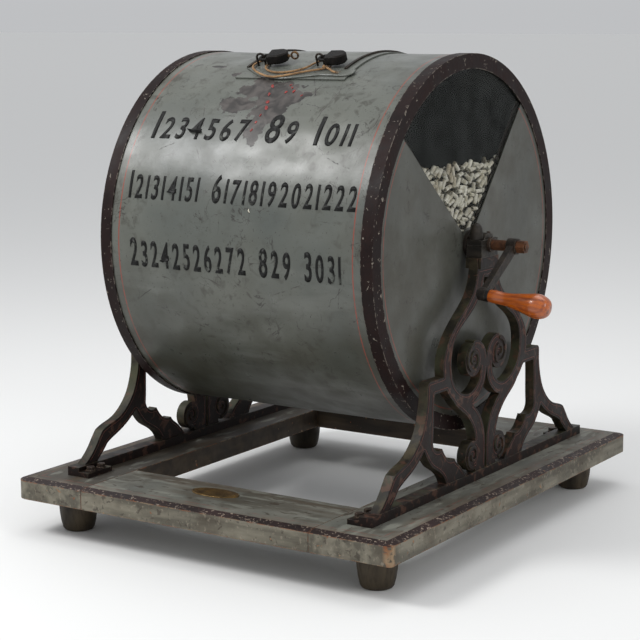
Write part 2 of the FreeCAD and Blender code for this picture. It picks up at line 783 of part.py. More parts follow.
def token_heap():
    drum_space = x_rod(HEAP_R, -HEAP_X, HEAP_X)
    corners = [
        V(-HEAP_X - 5, -DRUM_R, HEAP_Z_FAR),
        V(HEAP_X + 5, -DRUM_R, HEAP_Z_WINDOW),
        V(HEAP_X + 5, -DRUM_R, 100),
        V(-HEAP_X - 5, -DRUM_R, 100),
    ]
    below = Part.Face(Part.makePolygon(corners + corners[:1])).extrude(V(0, 2 * DRUM_R, 0))
    return drum_space.common(below).cut(x_rod(SHAFT_R + SHAFT_ROOM, -DRUM_L, DRUM_L))


# Hatch


def knuckle_spans():
    """The X range of each knuckle, and 1 where it belongs to the hatch's leaf."""
    length = (HATCH_X1 - HATCH_X0 - 2 * LEAF_INSET) / KNUCKLES
    start = HATCH_X0 + LEAF_INSET
    gap = KNUCKLE_GAP / 2
    return [(start + k * length + gap, start + (k + 1) * length - gap, k % 2) for k in range(KNUCKLES)]


def hinge_leaf(on_hatch):
    """A curved leaf with every second knuckle. The drum's leaf holds the outer ones."""
    centre = on_drum(0, HINGE_A, HINGE_R)
    low, high, bore = (HATCH_OUT_R, HATCH_OUT_R + HATCH_LEAF_T, HINGE_PIN_R + RUN_CLEARANCE)
    plain, under = HATCH_LEAF_ANGLES
    if not on_hatch:
        low, high, bore = (SHELL_R, SHELL_R + DRUM_LEAF_T, HINGE_PIN_R)
        plain, under = DRUM_LEAF_ANGLES
    leaf = curved_plate(low, high, HATCH_X0 + LEAF_INSET, HATCH_X1 - LEAF_INSET, *plain)
    parts = []
    for x0, x1, turn in knuckle_spans():
        if turn == int(on_hatch):
            parts.append(x_rod(KNUCKLE_R, x0, x1, centre.y, centre.z))
            parts.append(curved_plate(low, high, x0, x1, *under))
    leaf = leaf.multiFuse(parts).removeSplitter()
    return leaf.cut(x_rod(bore, -DRUM_L, DRUM_L, centre.y, centre.z))


def hinge_pin():
    centre = on_drum(0, HINGE_A, HINGE_R)
    return x_rod(HINGE_PIN_R, HATCH_X0 + 8, HATCH_X1 - 8, centre.y, centre.z)


def hatch_beads():
    """Dark stiffening strips over the crest, near the hatch's two sides."""
    outer = HATCH_OUT_R + HATCH_BEAD_T
    strips = []
    for x in HATCH_BEAD_X:
        strips.append(curved_plate(HATCH_OUT_R, outer, x, x + HATCH_BEAD_W, *HATCH_BEAD_ANGLES))
    return Part.makeCompound(strips)


def wire_height(size):
    """How far the shackle's wire and the middle of the case stand off the hatch."""
    return CASE_REST + CASE_T * size / 2


def staple(size):
    """Local frame: u along the padlock, v round the drum, w outwards. A wire arch in the u-w plane."""
    half = STAPLE_HALF * size
    top = wire_height(size) + STAPLE_RISE * size
    radius = STAPLE_R * size
    foot_w = HATCH_IN_R - HATCH_OUT_R
    left = V(-half, 0, foot_w)
    shoulder = V(-half, 0, top - half)
    legs = [Part.makeLine(left, shoulder)]
    legs.append(Part.Arc(shoulder, V(0, 0, top), V(half, 0, top - half)).toShape())
    legs.append(Part.makeLine(V(half, 0, top - half), V(half, 0, foot_w)))
    return swept(Part.Wire(legs), radius)


def swept(path, radius):
    start = path.Edges[0]
    point = start.valueAt(start.FirstParameter)
    along = start.tangentAt(start.FirstParameter)
    profile = Part.Wire([Part.makeCircle(radius, point, along)])
    return path.makePipeShell([profile], True, False)


def shackle(size):
    """A U of round wire. The heel leg ends in an eye round the case's rivet."""
    r = BOW_R * size
    h = wire_height(size)
    eye_u = (SHOULDER_U + HEEL_DEPTH) * size
    heel_end = eye_u - 0.6 * size
    toe_end = (SHOULDER_U + TOE_DEPTH) * size
    edges = [
        Part.makeLine(V(heel_end, r, h), V(r, r, h)),
        Part.Arc(V(r, r, h), V(0, 0, h), V(r, -r, h)).toShape(),
        Part.makeLine(V(r, -r, h), V(toe_end, -r, h)),
    ]
    wire_r = WIRE_R * size
    loop = swept(Part.Wire(edges), wire_r)
    eye_half = wire_r + EYE_EXTRA / 2
    eye = Part.makeCylinder(wire_r + EYE_EXTRA, 2 * eye_half, V(eye_u, r, h - eye_half), Z_AXIS)
    hole_r = LOCK_RIVET_R * size + RUN_CLEARANCE
    hole = Part.makeCylinder(hole_r, 40, V(eye_u, r, h - 20), Z_AXIS)
    return loop.fuse(eye).removeSplitter().cut(hole)


def lock_outline(size, w):
    u0 = SHOULDER_U * size
    u1 = (SHOULDER_U + CASE_L - CASE_R) * size
    r = CASE_R * size
    sides = [V(u0, -r + 2, w), V(u0, r - 2, w), V(u0 + 2, r, w), V(u1, r, w)]
    edges = [Part.makeLine(sides[k], sides[k + 1]) for k in range(3)]
    edges.append(Part.Arc(V(u1, r, w), V(u1 + r, 0, w), V(u1, -r, w)).toShape())
    edges.append(Part.makeLine(V(u1, -r, w), V(u0 + 2, -r, w)))
    edges.append(Part.makeLine(V(u0 + 2, -r, w), V(u0, -r + 2, w)))
    return Part.Wire(edges)


def lock_case(size, with_key):
    case = Part.Face(lock_outline(size, CASE_REST)).extrude(V(0, 0, CASE_T * size))
    flat_edges = [e for e in case.Edges if abs(e.BoundBox.ZLength) < 1e-6]
    case = case.makeChamfer(1.8 * size, flat_edges)
    r = BOW_R * size
    h = wire_height(size)
    room = WIRE_R * size + WIRE_ROOM
    u0 = SHOULDER_U * size
    pivot_u = u0 + HEEL_DEPTH * size
    pocket = Part.makeCylinder(room + EYE_EXTRA, 2 * room, V(pivot_u, r, h - room), Z_AXIS)
    mouth_u = HEEL_DEPTH * size + 1 + MOUTH_SPARE * size
    mouth = Part.makeBox(mouth_u, CASE_R * size, 2 * room, V(u0 - 1, r - room, h - room))
    toe = Part.makeCylinder(room + 0.65, TOE_DEPTH * size + 2, V(u0 - 1, -r, h), X_AXIS)
    rivet = Part.makeCylinder(LOCK_RIVET_R * size, 60, V(pivot_u, r, h - 30), Z_AXIS)
    cuts = [pocket, mouth, toe, rivet]
    if with_key:
        cuts.append(Part.makeCylinder(KEY_R + RUN_CLEARANCE, 40, V(KEY_U0 * size - 0.5, 0, h), X_AXIS))
    return case.cut(cuts)


def lock_rivet(size):
    place = V((SHOULDER_U + HEEL_DEPTH) * size, BOW_R * size, CASE_REST)
    return Part.makeCylinder(LOCK_RIVET_R * size, CASE_T * size, place, Z_AXIS)


def key(size):
    h = wire_height(size)
    bow_u = KEY_BOW_U * size
    shank = Part.makeCylinder(KEY_R, bow_u - 5 - KEY_U0 * size, V(KEY_U0 * size, 0, h), X_AXIS)
    bow = Part.makeCylinder(KEY_BOW_R, KEY_BOW_T, V(bow_u, KEY_BOW_T / 2, h), V(0, -1, 0))
    eye = Part.makeCylinder(KEY_EYE_R, 10, V(bow_u, 5, h), V(0, -1, 0))
    stop_u = (SHOULDER_U + CASE_L) * size + KEY_STOP_GAP
    stop = Part.makeCylinder(KEY_STOP_R, KEY_STOP_T, V(stop_u, 0, h), X_AXIS)
    return shank.multiFuse([bow, stop]).removeSplitter().cut(eye)


def placed(shape, x, angle, yaw):
    """Moves a shape from a padlock's local frame to its place on the hatch's outer face."""
    shape = shape.copy()
    shape.rotate(V(0, 0, 0), Z_AXIS, yaw)
    shape.rotate(V(0, 0, 0), X_AXIS, 90 - angle)
    shape.translate(on_drum(x, angle, HATCH_OUT_R))
    return shape


def rounded_path(points):
    """Straight runs joined by tangent arcs, each as large as its two runs allow."""
    edges = []
    radii = []
    start = points[0]
    for k in range(1, len(points) - 1):
        before = points[k - 1] - points[k]
        after = points[k + 1] - points[k]
        turn = math.pi - before.getAngle(after)
        back = 0.45 * min(before.Length, after.Length)
        radii.append(back / math.tan(turn / 2))
        into = points[k] + before.normalize() * back
        out = points[k] + after.normalize() * back
        middle_way = (before + after).normalize()
        reach = radii[-1] * (1 / math.cos(turn / 2) - 1)
        edges.append(Part.makeLine(start, into))
        edges.append(Part.Arc(into, points[k] + middle_way * reach, out).toShape())
        start = out
    edges.append(Part.makeLine(start, points[-1]))
    return Part.Wire(edges), radii


def twine():
    path, radii = rounded_path([on_drum(*p) for p in TWINE_ROUTE])
    solid = swept(path, TWINE_R)
    filled = solid.Volume / (math.pi * TWINE_R**2 * path.Length)
    print("twine length", round(path.Length, 1), "volume over section times length", round(filled, 4))
    print("twine arc radii", [round(r) for r in radii])
    return solid


def make_hatch(nodes):
    nodes["hatch_plate"] = curved_plate(HATCH_IN_R, HATCH_OUT_R, HATCH_X0, HATCH_X1, HATCH_A0, HATCH_A1)
    nodes["hatch_lip"] = curved_plate(HATCH_OUT_R, HATCH_OUT_R + LIP_T, LIP_X0, LIP_X1, LIP_A0, LIP_A1)
    nodes["hatch_beads"] = hatch_beads()
    nodes["hinge_leaf_hatch"] = hinge_leaf(True)
    nodes["hinge_leaf_drum"] = hinge_leaf(False)
    nodes["hinge_pin"] = hinge_pin()
    for side, (x, angle, yaw, size) in PADLOCKS.items():
        with_key = side == "left"
        nodes["staple_" + side] = placed(staple(size), x, angle, yaw)
        nodes["shackle_" + side] = placed(shackle(size), x, angle, yaw)
        nodes["lock_case_" + side] = placed(lock_case(size, with_key), x, angle, yaw)
        nodes["lock_rivet_" + side] = placed(lock_rivet(size), x, angle, yaw)
        nodes["hatch_plate"] = nodes["hatch_plate"].cut(nodes["staple_" + side])
    x, angle, yaw, size = PADLOCKS["left"]
    nodes["key"] = placed(key(size), x, angle, yaw)
    nodes["twine"] = twine()
    nodes["twine_knot"] = Part.makeSphere(KNOT_R, on_drum(*KNOT_PLACE))


def main():
    nodes = {}
    make_base(nodes)
    make_trestles(nodes)
    make_drum(nodes)
    nodes["token_heap"] = token_heap()
    make_hatch(nodes)
    os.makedirs("parts", exist_ok=True)
    for name, shape in nodes.items():
        shape.translate(V(-SHIFT_X, 0, 0))
        if not shape.isValid():
            print("not valid:", name)
        shape.exportStep("parts/" + name + ".step")
    print(len(nodes), "nodes; shift in X", SHIFT_X)


main()
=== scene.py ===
import json
import math
import random

import bmesh
import bpy
from mathutils import Matrix, Quaternion, Vector, kdtree, noise


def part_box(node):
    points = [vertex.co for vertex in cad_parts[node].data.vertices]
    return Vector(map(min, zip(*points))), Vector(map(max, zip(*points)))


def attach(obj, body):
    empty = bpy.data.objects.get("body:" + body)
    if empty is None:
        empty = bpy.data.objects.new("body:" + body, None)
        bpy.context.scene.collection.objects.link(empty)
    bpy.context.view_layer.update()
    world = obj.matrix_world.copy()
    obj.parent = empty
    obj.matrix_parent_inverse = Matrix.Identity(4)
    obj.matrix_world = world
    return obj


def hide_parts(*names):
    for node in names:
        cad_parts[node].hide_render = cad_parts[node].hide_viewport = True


# Looks of the hand-cranked lottery draw drum, in the row frame, in metres.
# Around the drum, places are (x from its middle, angle from -Y over the top, radius).

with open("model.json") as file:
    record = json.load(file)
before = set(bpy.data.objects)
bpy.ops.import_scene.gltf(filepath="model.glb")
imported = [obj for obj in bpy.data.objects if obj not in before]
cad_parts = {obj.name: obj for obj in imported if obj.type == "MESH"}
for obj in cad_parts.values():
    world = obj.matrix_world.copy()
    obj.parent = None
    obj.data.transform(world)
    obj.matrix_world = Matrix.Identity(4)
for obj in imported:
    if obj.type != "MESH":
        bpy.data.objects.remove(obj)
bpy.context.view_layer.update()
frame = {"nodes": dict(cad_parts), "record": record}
NODES = frame["nodes"]

shell_low, shell_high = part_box("drum_shell")
MID_X = (shell_low.x + shell_high.x) / 2
AXIS_Z = (shell_low.z + shell_high.z) / 2
SHELL_R = (shell_high.z - shell_low.z) / 2
BASE_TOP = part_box("base_board_left")[1].z
BASE_HALF_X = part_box("base_board_right")[1].x - MID_X
BASE_HALF_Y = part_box("base_board_right")[1].y
BOARD_W = 0.140
BEVEL_W = 0.015
# How far X - Y goes at the base's front right corner, where the paint is chipped down to the primer
CHIP_REACH = MID_X + BASE_HALF_X + BASE_HALF_Y - 0.004
MM = 0.001
# The shell's outer radius in mm, for places given as an arc length
SHELL_MM = 298

random.seed(7)


def at(x, angle, radius):
    a = math.radians(angle)
    return Vector((MID_X + x, -radius * math.cos(a), AXIS_Z + radius * math.sin(a)))


def srgb(r, g, b):
    """A colour from display values of 0 to 255 to linear ones."""
    linear = [c / 255 / 12.92 if c < 11 else ((c / 255 + 0.055) / 1.055) ** 2.4 for c in (r, g, b)]
    return (*linear, 1.0)


# Materials

MATERIALS = {}


class Surface:
    """One procedural material, kept in MATERIALS. Its textures are laid out in the row frame."""

    def __init__(self, name, metallic=0.0, roughness=0.5, specular=0.5):
        material = MATERIALS[name] = bpy.data.materials.new(name)
        material.use_nodes = True
        self.tree = material.node_tree
        self.shader = self.tree.nodes["Principled BSDF"]
        self.set("Metallic", metallic)
        self.set("Roughness", roughness)
        self.set("Specular IOR Level", specular)
        coordinates = self.add("ShaderNodeTexCoord")
        self.place = coordinates.outputs["Object"]
        self.facing = self.add("ShaderNodeSeparateXYZ", coordinates.outputs["Normal"]).outputs
        self.xyz = self.add("ShaderNodeSeparateXYZ", self.place).outputs
        self.relief = None

    def set(self, name, value):
        self.join(value, self.shader.inputs[name])

    def add(self, kind, *values, **settings):
        node = self.tree.nodes.new(kind)
        for key, value in settings.items():
            setattr(node, key, value)
        for socket, value in zip(node.inputs, values):
            self.join(value, socket)
        return node

    def join(self, value, socket):
        if isinstance(value, bpy.types.NodeSocket):
            self.tree.links.new(value, socket)
        elif value is not None:
            socket.default_value = value

    def math(self, operation, *values):
        return self.add("ShaderNodeMath", *values, operation=operation).outputs[0]

    def times(self, *values):
        result = values[0]
        for value in values[1:]:
            result = self.math("MULTIPLY", result, value)
        return result

    def minus(self, a, b):
        return self.math("SUBTRACT", a, b)

    def noise(self, scale, detail=4.0, stretch=None, warp=0.0, place=None):
        node = self.add("ShaderNodeTexNoise")
        place = place or self.place
        if stretch:
            place = self.add("ShaderNodeVectorMath", place, stretch, operation="MULTIPLY").outputs[0]
        for key, value in (("Vector", place), ("Scale", scale), ("Detail", detail), ("Distortion", warp)):
            self.join(value, node.inputs[key])
        return node.outputs[0]

    def fade(self, value, low, high, start=0.0, end=1.0):
        """Goes from start to end as value goes from low to high."""
        return self.add("ShaderNodeMapRange", value, low, high, start, end).outputs[0]

    def mix(self, share, a, b, blend="MIX"):
        node = self.add("ShaderNodeMix", data_type="RGBA", blend_type=blend)
        for index, value in ((0, share), (6, a), (7, b)):
            self.join(value, node.inputs[index])
        return node.outputs[2]

    def edges(self, radius, low=0.02, high=0.25):
        """1 along the piece's outer edges and corners, 0 on its flat faces."""
        soft = self.add("ShaderNodeBevel", radius, samples=4).outputs[0]
        sharp = self.add("ShaderNodeNewGeometry").outputs["Normal"]
        dot = self.add("ShaderNodeVectorMath", soft, sharp, operation="DOT_PRODUCT").outputs["Value"]
        return self.fade(dot, 1 - low, 1 - high)

    def line(self, value, centre, half_width, soft=0.0003):
        """1 where value is within half_width of centre."""
        away = self.math("ABSOLUTE", self.minus(value, centre))
        return self.fade(away, half_width + soft, half_width)

    def soften(self, radius):
        """Makes sharp edges catch the light as if they were slightly rounded."""
        self.relief = self.add("ShaderNodeBevel", radius, samples=4).outputs[0]
        self.join(self.relief, self.shader.inputs["Normal"])

    def hairlines(self, scale, stretch, half_width):
        """Thin wandering scratches, in patches."""
        line = self.line(self.noise(scale, 5.0, stretch=stretch, warp=1.5), 0.5, half_width, half_width)
        return self.times(line, self.fade(self.noise(scale * 1.7, 4.0), 0.54, 0.6))

    def bump(self, height, distance, strength=1.0):
        node = self.add("ShaderNodeBump")
        for key, value in (("Height", height), ("Distance", distance), ("Strength", strength)):
            self.join(value, node.inputs[key])
        if self.relief:
            self.join(self.relief, node.inputs["Normal"])
        self.relief = node.outputs[0]
        self.join(self.relief, self.shader.inputs["Normal"])


def around_drum(s):
    """(distance from the drum's middle, arc length from -Y over the top, distance from the axis)."""
    x = s.minus(s.xyz[0], MID_X)
    front = s.times(s.xyz[1], -1.0)
    up = s.minus(s.xyz[2], AXIS_Z)
    arc = s.times(s.math("ARCTAN2", up, front), SHELL_R)
    radius = s.math("SQRT", s.math("ADD", s.times(up, up), s.times(front, front)))
    return x, arc, radius


def arc_of(angle):
    return math.radians(angle) * SHELL_R


# Bare metal on the drum's front: (x, angle, half width, half height), in mm and degrees
BARE_PATCHES = [
    (-14, 55.0, 58, 22),
    (10, 48.0, 36, 34),
    (3, 40.5, 17, 34),
    (-56, 48.0, 36, 19),
    (42, 53.0, 27, 13),
    (-30, 58.0, 22, 16),
    (-101, 63.0, 10, 6),
    (-156, 68.6, 13, 5),
]
# Scratches through the enamel: (x, angle) at one end, then at the other, in mm and degrees
SCRATCHES = [
    (55, 61, 83, 52),
    (110, 61, 118, 55),
    (118, 55, 104, 42),
    (61, 50, 115, 47),
    (-120, 49, -96, 38),
    (150, 30, 196, 27),
    (-170, 30, -140, 33),
    (-60, 8, -20, 12),
    (70, -12, 128, -8),
    (-200, -18, -150, -12),
    (60, 60, 96, 46),
    (40, 57, 74, 61),
    (48, 55, 92, 57),
    (84, 62, 62, 47),
    (28, 47, 58, 36),
    (-30, 44, -66, 38),
]


def drum_enamel():
    s = Surface("drum_enamel", roughness=0.42, specular=0.42)
    x, arc, radius = around_drum(s)
    broad = s.noise(5.0, 3.0)
    cloud = s.noise(22.0, 5.0)
    grain = s.noise(160.0, 3.0)
    speck = s.noise(420.0, 2.0)
    paint = s.mix(s.fade(broad, 0.35, 0.65), srgb(79, 83, 79), srgb(99, 101, 94))
    paint = s.mix(s.fade(cloud, 0.45, 0.75, 0.0, 0.4), paint, srgb(78, 79, 71))
    # Darker and more olive towards the bottom: grime, and painted shade on the drum's underside.
    low = s.fade(s.xyz[2], AXIS_Z + 0.03, AXIS_Z - 0.22)
    paint = s.mix(s.times(low, s.fade(cloud, 0.3, 0.7, 0.5, 0.9)), paint, srgb(52, 51, 40))
    dirt = s.times(s.fade(s.noise(60.0, 6.0, warp=0.6), 0.54, 0.70), s.fade(broad, 0.4, 0.6, 0.2, 0.7))
    paint = s.mix(dirt, paint, srgb(52, 49, 42))
    on_shell = s.fade(radius, 0.290, 0.294)
    smear = s.fade(s.noise(26.0, 6.0, stretch=(0.25, 1, 1), warp=0.5), 0.55, 0.7, 0.0, 0.35)
    paint = s.mix(s.times(smear, on_shell), paint, srgb(112, 114, 109))
    streaks = s.fade(s.noise(9.0, 4.0, stretch=(1, 1, 0.4)), 0.4, 0.65)
    end = s.mix(streaks, srgb(61, 62, 57), srgb(75, 75, 69))
    paint = s.mix(s.fade(on_shell, 0.0, 1.0, 0.72, 0.0), paint, end)
    edge_dirt = s.fade(s.math("ABSOLUTE", x), 0.190, 0.236, 0.0, 0.5)
    paint = s.mix(s.times(edge_dirt, s.fade(cloud, 0.35, 0.65)), paint, srgb(60, 57, 48))
    chips = s.times(s.fade(speck, 0.65, 0.69), s.fade(grain, 0.50, 0.62))
    paint = s.mix(chips, paint, srgb(44, 38, 34))
    for stretch in ((0.5, 1.0, 1.0), (1.0, 0.6, 0.6)):
        paint = s.mix(s.times(s.hairlines(17.0, stretch, 0.0035), 0.75), paint, srgb(44, 40, 36))
    stripe = s.line(s.math("ABSOLUTE", x), 0.2205, 0.0008)
    ring = s.line(radius, 0.2665, 0.0006)
    stripe = s.math("ADD", s.times(stripe, on_shell), s.times(ring, s.fade(radius, 0.275, 0.270)))
    paint = s.mix(s.times(stripe, s.fade(grain, 0.36, 0.52, 0.45, 0.95)), paint, srgb(134, 62, 48))
    bare = bare_metal_mask(s, x, arc, on_shell)
    metal = s.mix(s.fade(s.noise(48.0, 6.0, warp=0.8), 0.4, 0.62), srgb(42, 39, 37), srgb(76, 71, 68))
    s.set("Base Color", s.mix(bare, paint, metal))
    s.set("Roughness", s.math("MAXIMUM", s.fade(cloud, 0.3, 0.7, 0.27, 0.42), s.times(bare, 0.45)))
    s.bump(broad, 0.006, 0.5)
    s.bump(s.noise(34.0, 2.0), 0.0011, 0.45)
    s.bump(grain, 0.00018, 0.35)
    s.bump(s.minus(1.0, bare), 0.0003, 0.8)


def bare_metal_mask(s, x, arc, on_shell):
    """Ragged patches and scratches where the enamel is gone."""
    ragged = s.times(s.minus(s.noise(70.0, 7.0, warp=0.4), 0.5), 1.7)
    total = 9.0
    for cx, angle, half_x, half_arc in BARE_PATCHES:
        u = s.math("DIVIDE", s.minus(x, cx * MM), half_x * MM)
        v = s.math("DIVIDE", s.minus(arc, arc_of(angle)), half_arc * MM)
        distance = s.math("SQRT", s.math("ADD", s.times(u, u), s.times(v, v)))
        total = s.math("MINIMUM", total, distance)
    mask = s.fade(s.math("ADD", total, ragged), 1.03, 0.97)
    for x0, a0, x1, a1 in SCRATCHES:
        mask = s.math("MAXIMUM", mask, scratch(s, x, arc, (x0 * MM, arc_of(a0)), (x1 * MM, arc_of(a1))))
    return s.times(mask, on_shell)


def scratch(s, x, arc, start, end):
    dx, dy = end[0] - start[0], end[1] - start[1]
    length = math.hypot(dx, dy)
    dx, dy = dx / length, dy / length
    u = s.minus(x, start[0])
    v = s.minus(arc, start[1])
    along = s.math("ADD", s.times(u, dx), s.times(v, dy))
    across = s.minus(s.times(u, dy), s.times(v, dx))
    wander = s.times(s.minus(s.noise(55.0, 3.0), 0.5), 0.006)
    inside = s.times(s.fade(along, 0.0, 0.003), s.fade(along, length, length - 0.003))
    thin = s.line(s.math("ADD", across, wander), 0.0, 0.0004)
    return s.times(thin, inside, s.fade(s.noise(120.0, 3.0), 0.42, 0.55))


def rim_enamel():
    s = Surface("rim_enamel", roughness=0.5, specular=0.14)
    cloud = s.noise(30.0, 5.0)
    fine = s.noise(190.0, 5.0)
    paint = s.mix(s.fade(cloud, 0.35, 0.7), srgb(22, 11, 10), srgb(34, 19, 17))
    paint = s.mix(s.fade(fine, 0.55, 0.68, 0.0, 0.7), paint, srgb(20, 14, 13))
    worn = s.times(s.edges(0.0026), s.fade(s.noise(130.0, 7.0), 0.49, 0.56))
    chips = s.fade(s.noise(150.0, 7.0, warp=0.7), 0.665, 0.685)
    worn = s.math("MAXIMUM", worn, chips)
    s.set("Base Color", s.mix(worn, paint, srgb(126, 118, 108)))
    s.set("Roughness", s.fade(cloud, 0.3, 0.7, 0.42, 0.62))
    s.bump(cloud, 0.0012, 0.4)
    s.bump(s.minus(fine, worn), 0.00035, 0.6)


def trestle_paint():
    s = Surface("trestle_iron", roughness=0.5, specular=0.22)
    s.soften(0.0012)
    cloud = s.noise(24.0, 5.0)
    fine = s.noise(210.0, 5.0)
    flat = s.fade(s.math("ABSOLUTE", s.facing[0]), 0.75, 0.9)
    low = s.fade(s.xyz[2], BASE_TOP + 0.022, BASE_TOP + 0.014)
    face = s.mix(s.fade(cloud, 0.35, 0.7), srgb(18, 11, 9), srgb(35, 20, 17))
    side = s.mix(s.fade(s.noise(40.0, 5.0), 0.4, 0.65), srgb(34, 31, 23), srgb(64, 57, 42))
    paint = s.mix(s.math("MAXIMUM", flat, low), side, face)
    grime = s.fade(s.noise(75.0, 6.0, warp=0.4), 0.5, 0.68, 0.0, 0.75)
    paint = s.mix(grime, paint, srgb(20, 17, 15))
    moss = s.fade(s.noise(19.0, 6.0, warp=0.5), 0.5, 0.64, 0.0, 0.65)
    paint = s.mix(s.times(moss, s.minus(1.0, flat)), paint, srgb(66, 68, 50))
    rubbed = s.fade(s.noise(62.0, 7.0, warp=0.8), 0.56, 0.64, 0.0, 0.65)
    paint = s.mix(rubbed, paint, srgb(84, 58, 46))
    wear = s.times(s.edges(0.0018), s.fade(s.noise(110.0, 6.0), 0.45, 0.60, 0.0, 0.8))
    s.set("Base Color", s.mix(wear, paint, srgb(92, 78, 58)))
    s.set("Roughness", s.fade(cloud, 0.3, 0.7, 0.42, 0.62))
    s.bump(s.noise(55.0, 4.0), 0.0012, 0.45)
    s.bump(fine, 0.0003, 0.6)


def along_boards(s, on_side_board, scale, detail, squeeze, warp=0.0):
    """A noise drawn out along each board: Y on the side boards, X on the other two."""
    run_x = s.noise(scale, detail, stretch=(squeeze, 1, 1), warp=warp)
    run_y = s.noise(scale, detail, stretch=(1, squeeze, 1), warp=warp)
    return s.mix(on_side_board, run_x, run_y)


def base_paint():
    s = Surface("base_paint", roughness=0.62, specular=0.35)
    s.soften(0.0015)
    x = s.math("ABSOLUTE", s.minus(s.xyz[0], MID_X))
    y = s.math("ABSOLUTE", s.xyz[1])
    from_edge = s.math("MINIMUM", s.minus(BASE_HALF_X, x), s.minus(BASE_HALF_Y, y))
    cloud = s.noise(16.0, 5.0)
    fine = s.noise(150.0, 6.0)
    seam_x = BASE_HALF_X - BOARD_W
    on_side_board = s.fade(x, seam_x - 0.0001, seam_x + 0.0001)
    grain = along_boards(s, on_side_board, 40.0, 6.0, 0.12)
    green = s.mix(s.fade(cloud, 0.35, 0.7), srgb(88, 89, 82), srgb(113, 112, 103))
    # Painted shade from the drum, with some grime, darkens the left side board.
    left = s.fade(s.xyz[0], MID_X - 0.1, MID_X - 0.2)
    left_board_shade_and_grime = s.times(on_side_board, left, s.fade(cloud, 0.3, 0.6, 0.92, 0.68))
    green = s.mix(left_board_shade_and_grime, green, srgb(45, 37, 31))
    green = s.mix(s.fade(grain, 0.48, 0.66, 0.0, 0.8), green, srgb(72, 60, 46))
    stains = s.fade(s.noise(11.0, 7.0, warp=0.9), 0.50, 0.62, 0.0, 0.6)
    green = s.mix(stains, green, srgb(62, 56, 46))
    scuffs = s.fade(along_boards(s, on_side_board, 70.0, 8.0, 0.25, 0.3), 0.57, 0.63, 0.0, 0.5)
    green = s.mix(scuffs, green, srgb(128, 129, 119))
    marks = s.fade(along_boards(s, on_side_board, 95.0, 8.0, 0.4, 0.8), 0.61, 0.65, 0.0, 0.8)
    green = s.mix(marks, green, srgb(56, 46, 36))
    near_edge = s.times(s.fade(from_edge, 0.034, 0.016), s.fade(s.noise(40.0, 6.0), 0.4, 0.6, 0.1, 0.7))
    green = s.mix(near_edge, green, srgb(104, 92, 80))
    stripe = s.times(s.line(from_edge, 0.0305, 0.0007), s.fade(s.noise(70.0, 4.0), 0.42, 0.55, 0.1, 0.7))
    green = s.mix(stripe, green, srgb(118, 62, 52))
    maroon = s.mix(s.fade(cloud, 0.35, 0.7), srgb(25, 14, 13), srgb(44, 27, 25))
    crackle = s.fade(s.noise(230.0, 6.0, stretch=(1.0, 1.0, 0.5), warp=0.6), 0.60, 0.64, 0.0, 0.9)
    maroon = s.mix(crackle, maroon, srgb(142, 128, 114))
    bevel = s.fade(from_edge, BEVEL_W + 0.0006, BEVEL_W)
    upper = s.mix(bevel, green, maroon)
    along = along_boards(s, on_side_board, 60.0, 7.0, 0.15)
    side = s.mix(s.fade(along, 0.40, 0.62), srgb(82, 78, 67), srgb(118, 113, 99))
    side = s.mix(s.fade(cloud, 0.5, 0.66, 0.0, 0.55), side, srgb(68, 60, 50))
    side = s.mix(s.fade(fine, 0.58, 0.70, 0.0, 0.55), side, srgb(140, 131, 116))
    side = s.mix(s.fade(s.noise(110.0, 6.0, warp=0.8), 0.60, 0.66, 0.0, 0.7), side, srgb(54, 46, 38))
    inner = s.fade(from_edge, BOARD_W - 0.004, BOARD_W - 0.001)
    side = s.mix(inner, side, s.mix(s.fade(along, 0.4, 0.65), srgb(44, 36, 28), srgb(72, 60, 46)))
    upright = s.fade(s.math("ABSOLUTE", s.facing[2]), 0.6, 0.3)
    colour = s.mix(upright, upper, side)
    corner = s.times(s.edges(0.0030, 0.006, 0.12), s.fade(s.noise(85.0, 7.0, warp=0.4), 0.43, 0.53))
    primer = s.mix(s.fade(s.noise(33.0, 5.0), 0.45, 0.6), srgb(124, 72, 38), srgb(140, 118, 92))
    nicks = s.times(s.fade(s.noise(80.0, 7.0, warp=0.6), 0.68, 0.70), s.math("MAXIMUM", bevel, upright))
    ahead = s.fade(s.minus(s.xyz[0], s.xyz[1]), CHIP_REACH - 0.011, CHIP_REACH - 0.004)
    ragged_edge = s.fade(s.noise(90.0, 7.0, warp=0.6), 0.42, 0.48)
    chipped = s.math("MAXIMUM", s.math("MAXIMUM", corner, nicks), s.times(ahead, ragged_edge))
    colour = s.mix(chipped, colour, primer)
    seam_end = BASE_HALF_Y - BOARD_W
    seam = s.times(s.line(x, seam_x, 0.0004), s.fade(y, seam_end - 0.001, seam_end))
    colour = s.mix(seam, colour, srgb(34, 28, 22))
    s.set("Base Color", colour)
    s.set("Roughness", s.fade(cloud, 0.3, 0.7, 0.46, 0.7))
    s.bump(grain, 0.0012, 0.6)
    s.bump(along, 0.0008, 0.5)
    s.bump(s.minus(1.0, s.math("MAXIMUM", chipped, seam)), 0.0006, 0.8)
    s.bump(s.noise(260.0, 3.0), 0.0002, 0.4)


def plain(
    name, dark, light, scale, metallic=0.0, rough=(0.4, 0.6), relief=0.0004,
    stretch=None, worn=None, specular=0.5,
):
    """A mottled surface between two colours, with optional wear along its edges."""
    s = Surface(name, metallic=metallic, specular=specular)
    dark, light = srgb(*dark), srgb(*light)
    if worn:
        s.soften(0.0012)
    cloud = s.noise(scale, 6.0, stretch=stretch)
    fine = s.noise(scale * 6, 4.0, stretch=stretch)
    colour = s.mix(s.fade(cloud, 0.36, 0.66), dark, light)
    colour = s.mix(s.fade(fine, 0.5, 0.75, 0.0, 0.45), colour, dark)
    if worn:
        wear = s.times(s.edges(0.0015), s.fade(s.noise(scale * 4, 6.0), 0.38, 0.6))
        colour = s.mix(wear, colour, srgb(*worn))
    s.set("Base Color", colour)
    s.set("Roughness", s.fade(fine, 0.3, 0.7, *rough))
    if relief:
        s.bump(cloud, relief * 2, 0.5)
        s.bump(fine, relief, 0.5)


